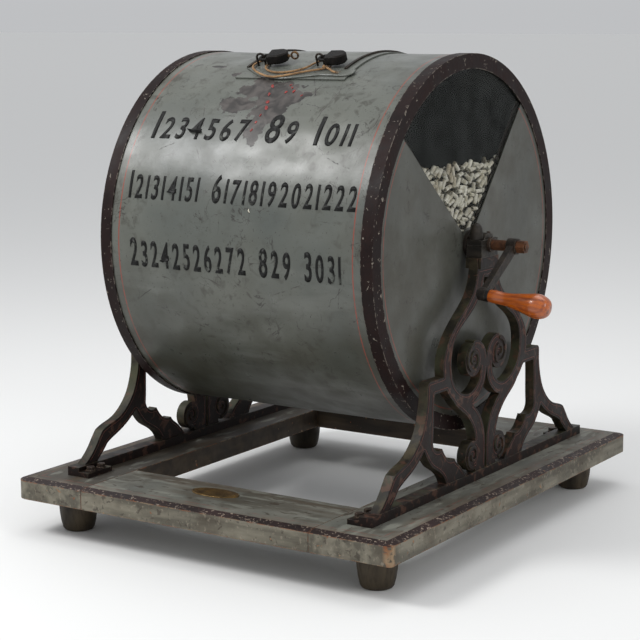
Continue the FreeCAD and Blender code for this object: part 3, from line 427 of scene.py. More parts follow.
def grip_wood():
    s = Surface("grip_wood", roughness=0.22)
    grain = s.noise(240.0, 6.0, stretch=(0.06, 1.0, 1.0), warp=0.3)
    streak = s.noise(90.0, 5.0, stretch=(0.1, 1.0, 1.0))
    colour = s.mix(s.fade(grain, 0.38, 0.66), srgb(184, 92, 22), srgb(134, 58, 12))
    colour = s.mix(s.fade(streak, 0.50, 0.66, 0.0, 0.8), colour, srgb(84, 38, 14))
    s.set("Base Color", colour)
    s.set("Coat Weight", 0.5)
    s.set("Coat Roughness", 0.12)
    s.set("Roughness", s.fade(grain, 0.3, 0.7, 0.24, 0.36))
    s.bump(grain, 0.0001, 0.4)


def window_glass():
    s = Surface("window_glass", roughness=0.06)
    smear = s.noise(30.0, 5.0)
    s.set("Base Color", srgb(52, 56, 54))
    s.set("Alpha", s.fade(smear, 0.35, 0.75, 0.10, 0.20))
    s.set("Roughness", s.fade(smear, 0.35, 0.75, 0.04, 0.14))


def ticket_paper():
    s = Surface("ticket_tubes", roughness=0.6, specular=0.3)
    each = s.noise(95.0, 1.0)
    broad = s.noise(17.0, 3.0)
    fine = s.noise(500.0, 3.0)
    colour = s.mix(s.fade(each, 0.35, 0.65), srgb(186, 180, 158), srgb(230, 227, 212))
    colour = s.mix(s.fade(broad, 0.55, 0.68, 0.0, 0.6), colour, srgb(150, 132, 100))
    colour = s.mix(s.fade(fine, 0.55, 0.75, 0.0, 0.3), colour, srgb(150, 138, 110))
    s.set("Base Color", colour)
    s.bump(fine, 0.0001, 0.4)


def heap_shadow():
    """The dark between the tokens."""
    s = Surface("heap_shadow", roughness=0.9, specular=0.1)
    s.set("Base Color", s.mix(s.fade(s.noise(120.0, 4.0), 0.4, 0.6), srgb(30, 27, 22), srgb(60, 54, 44)))


def numeral_paint():
    s = Surface("numeral_black", roughness=0.5, specular=0.2)
    wear = s.noise(130.0, 6.0, warp=0.3)
    rub = s.fade(s.noise(28.0, 4.0), 0.50, 0.66, 0.0, 1.0)
    gone = s.times(s.fade(wear, 0.54, 0.62), rub)
    s.set("Base Color", s.mix(gone, srgb(15, 15, 14), srgb(78, 80, 75)))
    s.bump(wear, 0.0002, 0.4)


def twine_fibre():
    s = Surface("twine", roughness=0.85, specular=0.15)
    fine = s.noise(600.0, 4.0)
    cloud = s.noise(60.0, 4.0)
    colour = s.mix(s.fade(cloud, 0.35, 0.65), srgb(122, 92, 62), srgb(166, 132, 94))
    s.set("Base Color", s.mix(s.fade(fine, 0.5, 0.7, 0.0, 0.6), colour, srgb(74, 52, 34)))
    s.set("Sheen Weight", 0.15)
    s.bump(fine, 0.0003, 0.7)


drum_enamel()
rim_enamel()
trestle_paint()
base_paint()
plain(
    "foot_wood", (34, 29, 22), (70, 60, 45), 35.0, rough=(0.5, 0.7), stretch=(1, 1, 0.3),
    worn=(98, 84, 60), specular=0.3,
)
plain("bolt_steel", (34, 26, 22), (66, 52, 42), 90.0, 0.2, worn=(120, 104, 88), specular=0.3)
plain("brass", (70, 52, 28), (126, 98, 54), 60.0, 0.6, (0.35, 0.5), 0.0003, worn=(168, 140, 92))
plain(
    "bearing_iron", (30, 27, 23), (58, 52, 45), 55.0, 0.2, (0.4, 0.6), 0.0006, stretch=(0.4, 1, 1),
    worn=(112, 108, 100), specular=0.3,
)
ticket_paper()
heap_shadow()
# A darker copy of the token paper for the layer behind: painted shade.
plain("ticket_shade", (74, 67, 52), (128, 120, 100), 95.0, rough=(0.7, 0.8), specular=0.1)
window_glass()
plain("dark_steel", (26, 22, 19), (50, 42, 35), 80.0, 0.2, worn=(88, 76, 62), specular=0.3)
plain(
    "rusty_iron", (46, 31, 24), (108, 68, 42), 75.0, 0.2, (0.45, 0.7),
    worn=(140, 96, 62), specular=0.3,
)
grip_wood()
plain("ferrule_iron", (14, 13, 12), (26, 24, 22), 90.0, 0.2, (0.3, 0.45))
plain(
    "lock_iron", (8, 7, 6), (22, 18, 15), 110.0, 0.0, (0.45, 0.65), 0.0006,
    worn=(66, 54, 42), specular=0.16,
)
plain("key_brass", (58, 42, 28), (132, 100, 62), 160.0, 0.5, (0.35, 0.5), 0.0002)
twine_fibre()
numeral_paint()
plain("pin_line", (70, 34, 25), (104, 52, 36), 90.0)
plain("wax_red", (104, 24, 20), (150, 38, 30), 150.0, rough=(0.35, 0.55))
plain("drum_inside", (44, 44, 41), (56, 56, 52), 6.0, 0.0, (0.6, 0.7), 0.0, specular=0.1)

for entry in frame["record"]["subparts"]:
    mesh = NODES[entry["node"]].data
    mesh.materials.clear()
    mesh.materials.append(MATERIALS[entry["material_slot"]])


# New pieces


def linked(name, data):
    made = bpy.data.objects.new(name, data)
    bpy.context.scene.collection.objects.link(made)
    return made


def piece(name, vertices, faces, material, body, slot, smooth=True):
    mesh = bpy.data.meshes.new(name)
    mesh.from_pydata([tuple(v) for v in vertices], [], faces)
    mesh.validate()
    if smooth:
        mesh.shade_smooth()
    else:
        mesh.shade_flat()
    mesh.materials.append(MATERIALS[material])
    made = linked(name, mesh)
    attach(made, body)
    return made


def mesh_of(curve):
    made = linked("curve", curve)
    bpy.context.view_layer.update()
    mesh = bpy.data.meshes.new_from_object(made)
    bpy.data.objects.remove(made)
    return mesh


def lists_of(drawn):
    """A bmesh's vertices and faces, as piece() takes them."""
    drawn.verts.index_update()
    return [v.co.copy() for v in drawn.verts], [tuple(v.index for v in f.verts) for f in drawn.faces]


def thicken(made, thickness, offset=0.0):
    modifier = made.modifiers.new("thickness", "SOLIDIFY")
    modifier.thickness = thickness
    modifier.offset = offset
    modifier.use_even_offset = True


# Sheet metal of the drum, with its dents: (x, angle, half width, half height, depth) in mm and degrees
DENTS = [
    (-125, 84, 48, 46, 6.0),
    (-60, 40, 30, 26, 1.8),
    (8, 52, 60, 22, 2.4),
    (70, 56, 36, 20, 2.0),
    (150, 62, 40, 30, 2.4),
    (99, 32, 30, 22, 3.2),
    (160, 38, 30, 24, 3.0),
    (151, 9.5, 34, 26, 3.4),
    (15, 10, 26, 22, 2.4),
    (-6, 26, 30, 20, 2.4),
    (-3, -25, 40, 24, 3.2),
    (58, -22, 34, 22, 2.8),
    (-150, -24, 34, 26, 3.2),
    (-170, -12, 26, 30, 2.8),
    (-200, 12, 24, 40, 2.6),
    (-110, 12, 36, 40, 1.8),
    (190, -34, 36, 40, 2.4),
    (-60, -42, 50, 36, 2.2),
    (60, 150, 60, 50, 2.8),
    (-120, 200, 70, 60, 2.6),
    (100, 250, 60, 60, 2.4),
    (-40, 170, 40, 34, 2.6),
    (150, 195, 40, 40, 2.6),
]
# How deep the sheet's broad unevenness is, in mm
SWELL = 0.9
# The rim bands' inner edge, and how far before it the dents fade out, in mm
BAND_INNER_X = 235
BAND_FADE = 25


def dent_depth(x, angle):
    """How far the sheet is pushed in there, fading to nothing under the rim bands."""
    total = 0.0
    for cx, ca, half_x, half_arc, depth in DENTS:
        turn = (angle - ca + 180) % 360 - 180
        u = (x - cx) / half_x
        v = math.radians(turn) * SHELL_MM / half_arc
        total += depth * math.exp(-(u * u + v * v))
    a = math.radians(angle)
    swell = noise.noise(Vector((x / 90, math.cos(a) * 3.3, math.sin(a) * 3.3)))
    total += SWELL * (swell + 0.5)
    clear = min(1.0, max(0.0, (BAND_INNER_X - abs(x)) / BAND_FADE))
    return max(0.0, total) * clear


# The hole under the hatch, then the flat seat of the hatch and its hinge: two x and two angles each
HATCH_MOUTH = (-86, 103, 63.9, 115.8)
HATCH_SEAT = (-112, 130, 57.5, 128)
SEAT_FADE = 22
MM_PER_DEGREE = 5.2


def sheet_depth(x, angle):
    """How far in the sheet lies in mm: dented, but flat under the hatch and its hinge."""
    x0, x1, a0, a1 = HATCH_SEAT
    dx = max(x0 - x, 0, x - x1)
    da = max(a0 - angle, 0, angle - a1) * MM_PER_DEGREE
    return dent_depth(x, angle) * min(1.0, math.hypot(dx, da) / SEAT_FADE)


# The sheet's grid: half its length and its steps, in mm and degrees
SHEET_HALF = 254
SHEET_STEP = 6.35
SHEET_TURN = 1.25
SHEET_T = 0.0014


def drum_sheet():
    mouth_x0, mouth_x1, mouth_a0, mouth_a1 = HATCH_MOUTH
    x_values = sorted({-SHEET_HALF + SHEET_STEP * k for k in range(81)} | {mouth_x0, mouth_x1})
    angles = sorted({SHEET_TURN * k for k in range(288)} | {mouth_a0, mouth_a1})
    vertices = []
    for x in x_values:
        for angle in angles:
            vertices.append(at(x * MM, angle, SHELL_R - 0.00005 - sheet_depth(x, angle) * MM))
    rows = len(angles)
    faces = []
    for i in range(len(x_values) - 1):
        for j in range(rows):
            mid_x = (x_values[i] + x_values[i + 1]) / 2
            mid_a = angles[j] + 0.3
            if mouth_x0 < mid_x < mouth_x1 and mouth_a0 < mid_a < mouth_a1:
                continue
            k = (j + 1) % rows
            faces.append((i * rows + j, (i + 1) * rows + j, (i + 1) * rows + k, i * rows + k))
    sheet = piece("drum_sheet", vertices, faces, "drum_enamel", "drum", "drum_enamel")
    sheet.data.materials.append(MATERIALS["drum_inside"])
    thicken(sheet, SHEET_T, -1.0)
    sheet.modifiers["thickness"].material_offset = 1
    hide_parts("drum_shell")


drum_sheet()


# Painted numerals: (characters, x at the start and end, angle, height,
# and how much taller the first one of each group is)
NUMERAL_ROWS = [
    ("1234567 89 1011", -192, 185, 38.3, 40, 1.30),
    ("121314151 61718192021222", -208, 219, 18.3, 38, 1.16),
    ("23242526272 829 3031", -198, 200, -2.3, 41, 1.08),
]
SURFACE_LIFT = 0.0003
# In units of the font's own height
NUMERAL_WIDTH = 0.72
NUMERAL_GAP = 0.17
GROUP_GAP = 0.45
STROKE_GAIN = 0.018
# The paint's thickness, and the strips in mm that it is cut into
PAINT_T = 0.0004
STRIP_ROUND = 5.0
STRIP_ALONG = 40


def glyph(character):
    curve = bpy.data.curves.new("glyph", "FONT")
    curve.body = character
    curve.resolution_u = 5
    curve.offset = STROKE_GAIN
    mesh = mesh_of(curve)
    return [(v.co.x, v.co.y) for v in mesh.vertices], [tuple(p.vertices) for p in mesh.polygons]


def painted_numerals():
    shapes = {c: glyph(c) for c in "0123456789"}
    full = max(y for _, y in shapes["0"][0])
    painted = bmesh.new()
    for text, x0, x1, angle, height, taller in NUMERAL_ROWS:
        cursor = 0.0
        placed = []
        first = True
        for character in text:
            if character == " ":
                cursor += GROUP_GAP
                first = True
                continue
            points, faces = shapes[character]
            left = min(x for x, _ in points)
            size = taller if first else 1.0
            first = False
            width = (max(x for x, _ in points) - left) * NUMERAL_WIDTH * size
            placed.append((cursor, size, left, points, faces))
            cursor += width + NUMERAL_GAP
        scale = (x1 - x0) / (cursor - NUMERAL_GAP)
        for start, size, left, points, faces in placed:
            tilt = random.uniform(-0.02, 0.02)
            rise = random.uniform(-0.6, 0.6)
            ring = []
            for px, py in points:
                u = start + (px - left) * NUMERAL_WIDTH * size + tilt * py
                v = (py / full * size - 0.5) * height + rise
                x = x0 + u * scale
                ring.append(painted.verts.new((x, v + math.radians(angle) * SHELL_MM, 0)))
            for face in faces:
                painted.faces.new([ring[k] for k in face])
    cut_across(painted)
    wrapped("painted_numerals", painted, "numeral_black")


def cut_across(flat):
    """Cuts a flat drawing into strips narrow enough to follow the drum's curve."""
    low = min(v.co.y for v in flat.verts)
    high = max(v.co.y for v in flat.verts)
    rows = int((high - low) / STRIP_ROUND)
    cuts = [((0, low + k * STRIP_ROUND, 0), (0, 1, 0)) for k in range(1, rows + 1)]
    cuts += [((k * STRIP_ALONG, 0, 0), (1, 0, 0)) for k in range(-5, 6)]
    for place, across in cuts:
        everything = flat.verts[:] + flat.edges[:] + flat.faces[:]
        bmesh.ops.bisect_plane(flat, geom=everything, plane_co=place, plane_no=across)


def wrapped(name, flat, material):
    """Lays a flat (x, arc length) drawing in mm on the dented sheet."""
    points, faces = lists_of(flat)
    vertices = []
    for x, arc, _ in points:
        angle = math.degrees(arc / SHELL_MM)
        vertices.append(at(x * MM, angle, SHELL_R + SURFACE_LIFT - sheet_depth(x, angle) * MM))
    made = piece(name, vertices, faces, material, "drum", "drum_enamel")
    thicken(made, PAINT_T)


painted_numerals()

# Drops of sealing wax on the drum: (x, angle, size) in mm and degrees
WAX = [
    (-12, 56.8, 6),
    (-9, 53.4, 5),
    (-2, 49.8, 7),
    (3, 47.1, 6),
    (-2, 41.2, 4),
    (20, 54.5, 5),
    (33.5, 55, 6),
    (21, 57.6, 5),
    (52, 53.3, 4),
    (-4, 38.4, 4),
    (0, 44, 4),
    (27, 56.4, 4),
]
WAX_H = 0.0011


def wax_drops():
    drops = bmesh.new()
    for x, angle, size in WAX:
        place = at(x * MM, angle, SHELL_R - sheet_depth(x, angle) * MM)
        turn = Quaternion((1, 0, 0), math.radians(90 - angle)).to_matrix().to_4x4()
        across = size * MM * random.uniform(0.35, 0.5)
        down = size * MM * random.uniform(0.6, 0.95)
        shape = Matrix.Diagonal((across, down, WAX_H, 1))
        spin = Matrix.Rotation(random.uniform(-0.6, 0.6), 4, "Z")
        matrix = Matrix.Translation(place) @ turn @ spin @ shape
        made = bmesh.ops.create_icosphere(drops, subdivisions=3, radius=1.0, matrix=matrix)
        for v in made["verts"]:
            away = v.co - place
            v.co = place + away * (1 + 0.35 * noise.noise(v.co * 420))
    piece("wax_drops", *lists_of(drops), "wax_red", "drum", "drum_enamel")


wax_drops()


# Hatch lip: its front edge is bent out of line (x, angle of the front edge)
LIP_FRONT = [
    (-88, 65.9),
    (-78, 64.6),
    (-60, 62.4),
    (-44, 60.6),
    (-22, 59.9),
    (-8, 59.8),
    (8, 59.9),
    (30, 60.9),
    (62, 62.2),
    (100, 62.0),
    (113, 62.3),
    (119, 63.4),
]
LIP_BACK = 65.9
PLATE_OUT_R = 300.4
LIP_T = 0.0018


def interpolated(stations, x):
    for (x0, a0), (x1, a1) in zip(stations, stations[1:]):
        if x <= x1:
            return a0 + (a1 - a0) * (x - x0) / (x1 - x0)
    return stations[-1][1]


def hatch_lip():
    columns, rows = 70, 6
    x0, x1 = LIP_FRONT[0][0], LIP_FRONT[-1][0]
    vertices = []
    for i in range(columns + 1):
        x = x0 + (x1 - x0) * i / columns
        front = interpolated(LIP_FRONT, x) + 0.12 * noise.noise(Vector((x / 9, 3, 0)))
        for j in range(rows + 1):
            share = j / rows
            curl = 0.7 * (1 - share) ** 3 * (0.5 + noise.noise(Vector((x / 25, 0, 0))))
            angle = front + (LIP_BACK - front) * share
            vertices.append(at(x * MM, angle, (PLATE_OUT_R + 1.05 + curl) * MM))
    faces = []
    for i in range(columns):
        for j in range(rows):
            a = i * (rows + 1) + j
            faces.append((a, a + 1, a + rows + 2, a + rows + 1))
    lip = piece("hatch_lip_bent", vertices, faces, "drum_enamel", "hatch", "drum_enamel")
    thicken(lip, LIP_T)
    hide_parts("hatch_lip")


hatch_lip()


# Twine


def tube_mesh(path, radius, sides=6):
    """Vertices and faces of a tube round a line of points; radius is a number or a list."""
    vertices = []
    faces = []
    normal = None
    for k, point in enumerate(path):
        ahead = path[min(k + 1, len(path) - 1)] - path[max(k - 1, 0)]
        ahead.normalize()
        if normal is None:
            normal = ahead.orthogonal().normalized()
        normal = (normal - ahead * normal.dot(ahead)).normalized()
        side = ahead.cross(normal)
        r = radius[k] if isinstance(radius, list) else radius
        for j in range(sides):
            a = 2 * math.pi * j / sides
            vertices.append(point + normal * (r * math.cos(a)) + side * (r * math.sin(a)))
    for k in range(len(path) - 1):
        for j in range(sides):
            a, b = k * sides + j, k * sides + (j + 1) % sides
            faces.append((a, b, b + sides, a + sides))
    faces.append(tuple(reversed(range(sides))))
    last = (len(path) - 1) * sides
    faces.append(tuple(range(last, last + sides)))
    return vertices, faces


def joined(parts):
    vertices, faces = [], []
    for some, their in parts:
        start = len(vertices)
        vertices.extend(some)
        faces.extend(tuple(start + k for k in face) for face in their)
    return vertices, faces


def smooth_line(points):
    """Points along the smooth curve that a route's points control."""
    curve = bpy.data.curves.new("route", "CURVE")
    curve.dimensions = "3D"
    spline = curve.splines.new("NURBS")
    spline.points.add(len(points) - 1)
    for control, place in zip(spline.points, points):
        control.co = (*place, 1.0)
    spline.order_u = 3
    spline.use_endpoint_u = True
    spline.resolution_u = 16
    return [v.co.copy() for v in mesh_of(curve).vertices]


# The route of the twine, as in the CAD source: (x, angle, radius) in mm and degrees
TWINE_ROUTE = [
    (60.8, 65.1, 304.9),
    (49.0, 64.3, 304.8),
    (36.0, 63.6, 304.7),
    (21.0, 62.3, 304.7),
    (5.0, 61.0, 304.7),
    (-11.0, 60.0, 304.7),
    (-27.0, 60.0, 304.7),
    (-42.0, 61.0, 304.7),
    (-56.0, 62.4, 304.7),
    (-69.0, 64.1, 304.7),
    (-78.6, 66.4, 304.3),
    (-81.0, 69.1, 302.8),
    (-76.6, 71.3, 302.6),
    (-66.6, 72.0, 302.6),
    (-57.6, 70.8, 302.6),
    (-54.4, 68.3, 302.8),
    (-52.2, 65.9, 304.5),
    (-44.5, 64.2, 304.7),
    (-33.0, 63.0, 304.7),
    (-19.0, 62.4, 304.7),
    (-4.0, 62.6, 304.7),
    (10.0, 63.4, 304.7),
    (22.0, 64.7, 304.7),
    (29.4, 66.8, 304.2),
    (29.2, 69.6, 302.8),
    (34.0, 72.0, 302.6),
    (43.5, 73.0, 302.6),
    (53.2, 72.2, 302.6),
    (58.8, 70.0, 302.6),
    (60.4, 67.7, 302.9),
    (62.6, 65.9, 304.9),
    (73.0, 65.2, 304.8),
    (83.0, 63.5, 304.7),
    (90.0, 63.2, 304.7),
]
STRAND_R = 0.00098
STRAND_OUT = 0.00085
TWINE_PITCH = 0.010
KNOT_PLACE = (61.5, 65.5, 306.6)
# The knot's turns: (lean, yaw, half width in mm)
KNOT_TURNS = [(0.2, 0.1, 2.7), (1.1, 0.5, 2.5), (-0.9, 0.9, 2.6), (0.5, 1.7, 2.3)]
KNOT_STRAND_R = 0.00125
CORD_STEP = 0.0012
LOOSE_FIBRES = 260
FRAYED_FIBRES = 34
FIBRE_R = 0.00014


def evenly(line, step):
    """The same line with points a step apart."""
    made = [line[0].copy()]
    carried = 0.0
    for a, b in zip(line, line[1:]):
        length = (b - a).length
        while carried + length >= step:
            a = a.lerp(b, (step - carried) / length)
            made.append(a.copy())
            length = (b - a).length
            carried = 0.0
        carried += length
    return made


def strands(line, step):
    """Strands twisted round the line."""
    parts = []
    for strand in range(3):
        path = []
        normal = (line[1] - line[0]).orthogonal().normalized()
        for k, point in enumerate(line):
            ahead = (line[min(k + 1, len(line) - 1)] - line[max(k - 1, 0)]).normalized()
            normal = (normal - ahead * normal.dot(ahead)).normalized()
            turn = 2 * math.pi * (k * step / TWINE_PITCH + strand / 3)
            out = normal * math.cos(turn) + ahead.cross(normal) * math.sin(turn)
            path.append(point + out * STRAND_OUT)
        radii = [STRAND_R * (1 + 0.10 * noise.noise(p * 300)) for p in path]
        parts.append(tube_mesh(path, radii, 6))
    return joined(parts)


def random_vector(*ranges):
    return Vector([random.uniform(low, high) for low, high in ranges])


def hair(root, direction, length):
    """One thin fibre, curling and tapering away from the twine."""
    path = []
    place = root.copy()
    for k in range(5):
        path.append(place.copy())
        bend = random_vector((-1, 1), (-1, 1), (-1, 1)) * 0.35
        direction = (direction + bend).normalized()
        place += direction * length / 4
    return tube_mesh(path, [FIBRE_R * (1 - 0.18 * k) for k in range(5)], 3)


def make_twine():
    line = smooth_line([at(x * MM, angle, r * MM) for x, angle, r in TWINE_ROUTE])
    even = evenly(line, CORD_STEP)
    cord = piece("twine_cord", *strands(even, CORD_STEP), "twine", "hatch", "twine")
    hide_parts("twine")
    fibres = []
    for _ in range(LOOSE_FIBRES):
        k = random.randrange(2, len(even) - 2)
        ahead = (even[k + 1] - even[k - 1]).normalized()
        out = random_vector((-1, 1), (-1, 1), (0.0, 1)).normalized()
        out = (out - ahead * out.dot(ahead)).normalized()
        lean = (out + ahead * random.uniform(-1.2, 1.2)).normalized()
        fibres.append(hair(even[k] + out * 0.0014, lean, random.uniform(0.002, 0.005)))
    tip = even[-1]
    ahead = (even[-1] - even[-4]).normalized()
    for _ in range(FRAYED_FIBRES):
        spread = random_vector((-1, 1), (-1, 0.6), (-0.3, 0.6)) * 0.5
        root = tip - ahead * random.uniform(0.0, 0.002) + spread * 0.0016
        fibres.append(hair(root, (ahead + spread * 0.7).normalized(), random.uniform(0.006, 0.012)))
    fuzz = piece("twine_fibres", *joined(fibres), "twine", "hatch", "twine")
    knot = make_knot()


def make_knot():
    """Turns of twine drawn tight round each other."""
    x, angle, radius = KNOT_PLACE
    centre = at(x * MM, angle, radius * MM)
    upright = Matrix.Rotation(math.pi / 2, 3, "Y")
    turns = []
    for k, (lean, yaw, wide) in enumerate(KNOT_TURNS):
        spin = Matrix.Rotation(yaw, 3, "Z") @ Matrix.Rotation(lean, 3, "X") @ upright
        ring = []
        for j in range(25):
            a = 2 * math.pi * j / 24 + k
            flat = Vector((wide * MM * math.cos(a), 1.9 * MM * math.sin(a), 0.0004 * math.sin(3 * a)))
            ring.append(centre + spin @ flat)
        turns.append(tube_mesh(ring, KNOT_STRAND_R, 7))
    knot = piece("twine_knot_turns", *joined(turns), "twine", "hatch", "twine")
    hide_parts("twine_knot")
    return knot


make_twine()


# Rolled paper tokens


GLASS_IN_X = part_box("window_glass")[0].x - MID_X
HEAP_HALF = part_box("token_heap")[1].x - MID_X
HEAP_R = 0.2925
HEAP_Z_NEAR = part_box("token_heap")[1].z
HEAP_Z_FAR = 0.470
SHAFT_ROOM = 0.014
WALL_GAP = 0.008
# Tokens at the window, then on top of the heap
TOKEN_L = (0.0150, 0.0195)
TOKEN_R = (0.0031, 0.0037)
TOP_TOKEN_L = (0.015, 0.019)
TOP_TOKEN_R = 0.0035
TOP_TOKEN_STEP = 0.0118


def heap_top(x):
    share = (x + HEAP_HALF) / (2 * HEAP_HALF)
    return HEAP_Z_FAR + (HEAP_Z_NEAR - HEAP_Z_FAR) * share


def token(place, turn, length, radius, sides):
    """A short open tube, rolled from paper."""
    rings = [(radius, -0.5), (radius, 0.5), (radius * 0.55, 0.5), (radius * 0.55, -0.5)]
    vertices = []
    for r, end in rings:
        for j in range(sides):
            a = 2 * math.pi * j / sides
            vertices.append(place + turn @ Vector((r * math.cos(a), r * math.sin(a), end * length)))
    faces = []
    for ring in range(4):
        for j in range(sides):
            k = (j + 1) % sides
            n = (ring + 1) % 4
            faces.append((ring * sides + j, ring * sides + k, n * sides + k, n * sides + j))
    return vertices, faces


def inside_heap(x, y, z, margin):
    r = math.hypot(y, z - AXIS_Z)
    return r < HEAP_R - margin and r > SHAFT_ROOM + margin and z < heap_top(x) - margin * 0.6


def apart(spine, others, least):
    """Whether a token's spine, as a few flat points, keeps that far from every other one."""
    for other in others:
        # Too far away to meet
        if max(abs(other[1][0] - spine[1][0]), abs(other[1][1] - spine[1][1])) > 0.024:
            continue
        for a in spine:
            for b in other:
                if math.dist(a, b) < least:
                    return False
    return True


def tokens_at_window(depth, tries, spread):
    """One layer of tokens lying against the glass, none of them crossing another."""
    parts = []
    taken = []
    for _ in range(tries):
        y = random.uniform(-0.20, 0.20)
        z = AXIS_Z + random.uniform(-0.02, 0.14)
        x = GLASS_IN_X - depth
        # Outside the window's wedge, or outside the heap
        if abs(y) > 0.03 + abs(z - AXIS_Z) * 1.2 or not inside_heap(x, y, z, 0.004):
            continue
        angle = random.gauss(0.9, 0.75)
        length = random.uniform(*TOKEN_L)
        reach = 0.5 * length - 0.002
        step = (reach * math.sin(angle), reach * math.cos(angle))
        spine = [(y + k * step[0], z + k * step[1]) for k in (-1, -0.5, 0, 1, 0.5)]
        radius = random.uniform(*TOKEN_R)
        if not apart(spine, taken, 1.85 * radius):
            continue
        taken.append(spine)
        turn = Matrix.Rotation(-angle, 3, "X") @ Matrix.Rotation(random.gauss(0, spread), 3, "Y")
        reach = abs((turn @ Vector((0, 0, 1))).x) * length / 2 + radius
        x = min(x, GLASS_IN_X - 0.0006 - reach)
        parts.append(token(Vector((MID_X + x, y, z)), turn, length, radius, 12))
    return parts


def tokens_on_top():
    parts = []
    x = -HEAP_HALF + WALL_GAP
    while x < HEAP_HALF - 0.016:
        top = heap_top(x)
        half = math.sqrt(max(HEAP_R**2 - (top - AXIS_Z) ** 2, 0)) - WALL_GAP
        y = -half
        while y < half:
            px = x + random.uniform(-1, 1) * TOP_TOKEN_STEP * 0.4
            py = y + random.uniform(-1, 1) * TOP_TOKEN_STEP * 0.4
            pz = heap_top(px) - random.uniform(0.003, 0.009)
            if inside_heap(px, py, pz, 0.004):
                lean = Matrix.Rotation(random.uniform(1.0, 2.1), 3, "X")
                turn = Matrix.Rotation(random.uniform(0, math.pi), 3, "Z") @ lean
                length = random.uniform(*TOP_TOKEN_L)
                parts.append(token(Vector((MID_X + px, py, pz)), turn, length, TOP_TOKEN_R, 8))
            y += TOP_TOKEN_STEP
        x += TOP_TOKEN_STEP
    return parts


def heap_core():
    """The body of the heap behind the outermost tokens, dark with painted shadow."""
    core = bmesh.new()
    turn = Matrix.Translation((MID_X, 0, AXIS_Z)) @ Matrix.Rotation(math.pi / 2, 4, "Y")
    r = HEAP_R - 0.006
    depth = 2 * HEAP_HALF - 0.030
    bmesh.ops.create_cone(core, cap_ends=True, segments=96, radius1=r, radius2=r, depth=depth, matrix=turn)
    slope = math.atan2(HEAP_Z_NEAR - HEAP_Z_FAR, 2 * HEAP_HALF)
    normal = Vector((-math.sin(slope), 0, math.cos(slope)))
    middle = Vector((MID_X, 0, (HEAP_Z_NEAR + HEAP_Z_FAR) / 2 - 0.009))
    everything = core.verts[:] + core.edges[:] + core.faces[:]
    cut = bmesh.ops.bisect_plane(core, geom=everything, plane_co=middle, plane_no=normal, clear_outer=True)
    rim = [e for e in cut["geom_cut"] if isinstance(e, bmesh.types.BMEdge)]
    bmesh.ops.edgeloop_fill(core, edges=rim)
    piece("token_heap_core", *lists_of(core), "heap_shadow", "stand", "ticket_tubes", smooth=False)


def paper_tokens():
    front = tokens_at_window(depth=0.0045, tries=16000, spread=0.06) + tokens_on_top()
    tokens = piece("token_tubes", *joined(front), "ticket_tubes", "stand", "ticket_tubes", smooth=False)
    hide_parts("token_heap")
    # The layer behind is drawn in the darker ticket_shade paper, as painted shade of the layer in front.
    behind = tokens_at_window(depth=0.0120, tries=9000, spread=0.2)
    piece("token_tubes_behind", *joined(behind), "ticket_shade", "stand", "ticket_tubes", smooth=False)
    heap_core()


paper_tokens()


# Painted lines along the trestles' castings

LINE_INSET = 0.0045
LINE_HALF_W = 0.0004
LINE_LIFT = 0.0002
LINE_T = 0.0003
LINE_STEP = 0.0015
LINE_LOWEST = BASE_TOP + 0.018
# The casting's outer and inner faces, from the drum's middle
CASTING_OUT_X = 0.288
CASTING_IN_X = 0.272


def face_outlines(mesh, plane_x, facing):
    """Closed loops of points round the flat faces that lie at plane_x and look along facing."""
    flat = set()
    for p in mesh.polygons:
        if p.normal.x * facing > 0.999 and abs(p.center.x - plane_x) < 0.00005:
            flat.add(p.index)
    key = {}
    place = {}
    for index in flat:
        for v in mesh.polygons[index].vertices:
            co = mesh.vertices[v].co
            key[v] = (round(co.y, 6), round(co.z, 6))
            place[key[v]] = co
    sides = {}
    for index in flat:
        corners = [key[v] for v in mesh.polygons[index].vertices]
        for a, b in zip(corners, corners[1:] + corners[:1]):
            if a != b:
                sides[(a, b)] = sides.get((a, b), 0) + 1
    following = {a: b for a, b in sides if (b, a) not in sides}
    loops = []
    while following:
        start, current = following.popitem()
        loop = [start]
        while current != start and current in following:
            loop.append(current)
            current = following.pop(current)
        if current == start and len(loop) > 8:
            loops.append([place[k].copy() for k in loop])
    return loops


def pin_lines(name, node, plane_x, facing):
    loops = []
    for loop in face_outlines(NODES[node].data, plane_x, facing):
        loops.append(evenly(loop + loop[:1], LINE_STEP)[:-1])
    edge_points = [p for loop in loops for p in loop]
    tree = kdtree.KDTree(len(edge_points))
    for k, p in enumerate(edge_points):
        tree.insert(p, k)
    tree.balance()
    out = Vector((facing, 0, 0))
    vertices = []
    faces = []
    for loop in loops:
        count = len(loop)
        kept_before = False
        for k in range(count + 1):
            p = loop[k % count]
            along = (loop[(k + 2) % count] - loop[(k - 2) % count]).normalized()
            inward = out.cross(along)
            middle = p + inward * LINE_INSET
            kept = tree.find(middle)[2] > LINE_INSET * 0.93 and p.z > LINE_LOWEST
            if kept:
                for side in (-1, 1):
                    vertices.append(p + inward * (LINE_INSET + side * LINE_HALF_W) + out * LINE_LIFT)
                if kept_before and (vertices[-1] - vertices[-3]).length < 0.004:
                    n = len(vertices)
                    quad = (n - 4, n - 3, n - 1, n - 2)
                    faces.append(quad if facing > 0 else tuple(reversed(quad)))
            kept_before = kept
    if faces:
        made = piece(name, vertices, faces, "pin_line", "stand", "trestle_iron")
        thicken(made, LINE_T)


for side, sign in (("left", -1), ("right", 1)):
    pin_lines("pin_lines_outer_" + side, "trestle_" + side, MID_X + sign * CASTING_OUT_X, sign)
    pin_lines("pin_lines_inner_" + side, "trestle_" + side, MID_X + sign * CASTING_IN_X, -sign)


# Floor, light and camera

WORLD_AT_HORIZON = 0.54
WORLD_ABOVE = 0.68
FLOOR_HALF = 60.0
CAMERA_PLACE = (1.56439, -2.52160, 0.83605)
# Azimuth, elevation and roll in degrees
CAMERA_ANGLES = (33.04, 9.70, -0.24)
CAMERA_LENS = 101.27


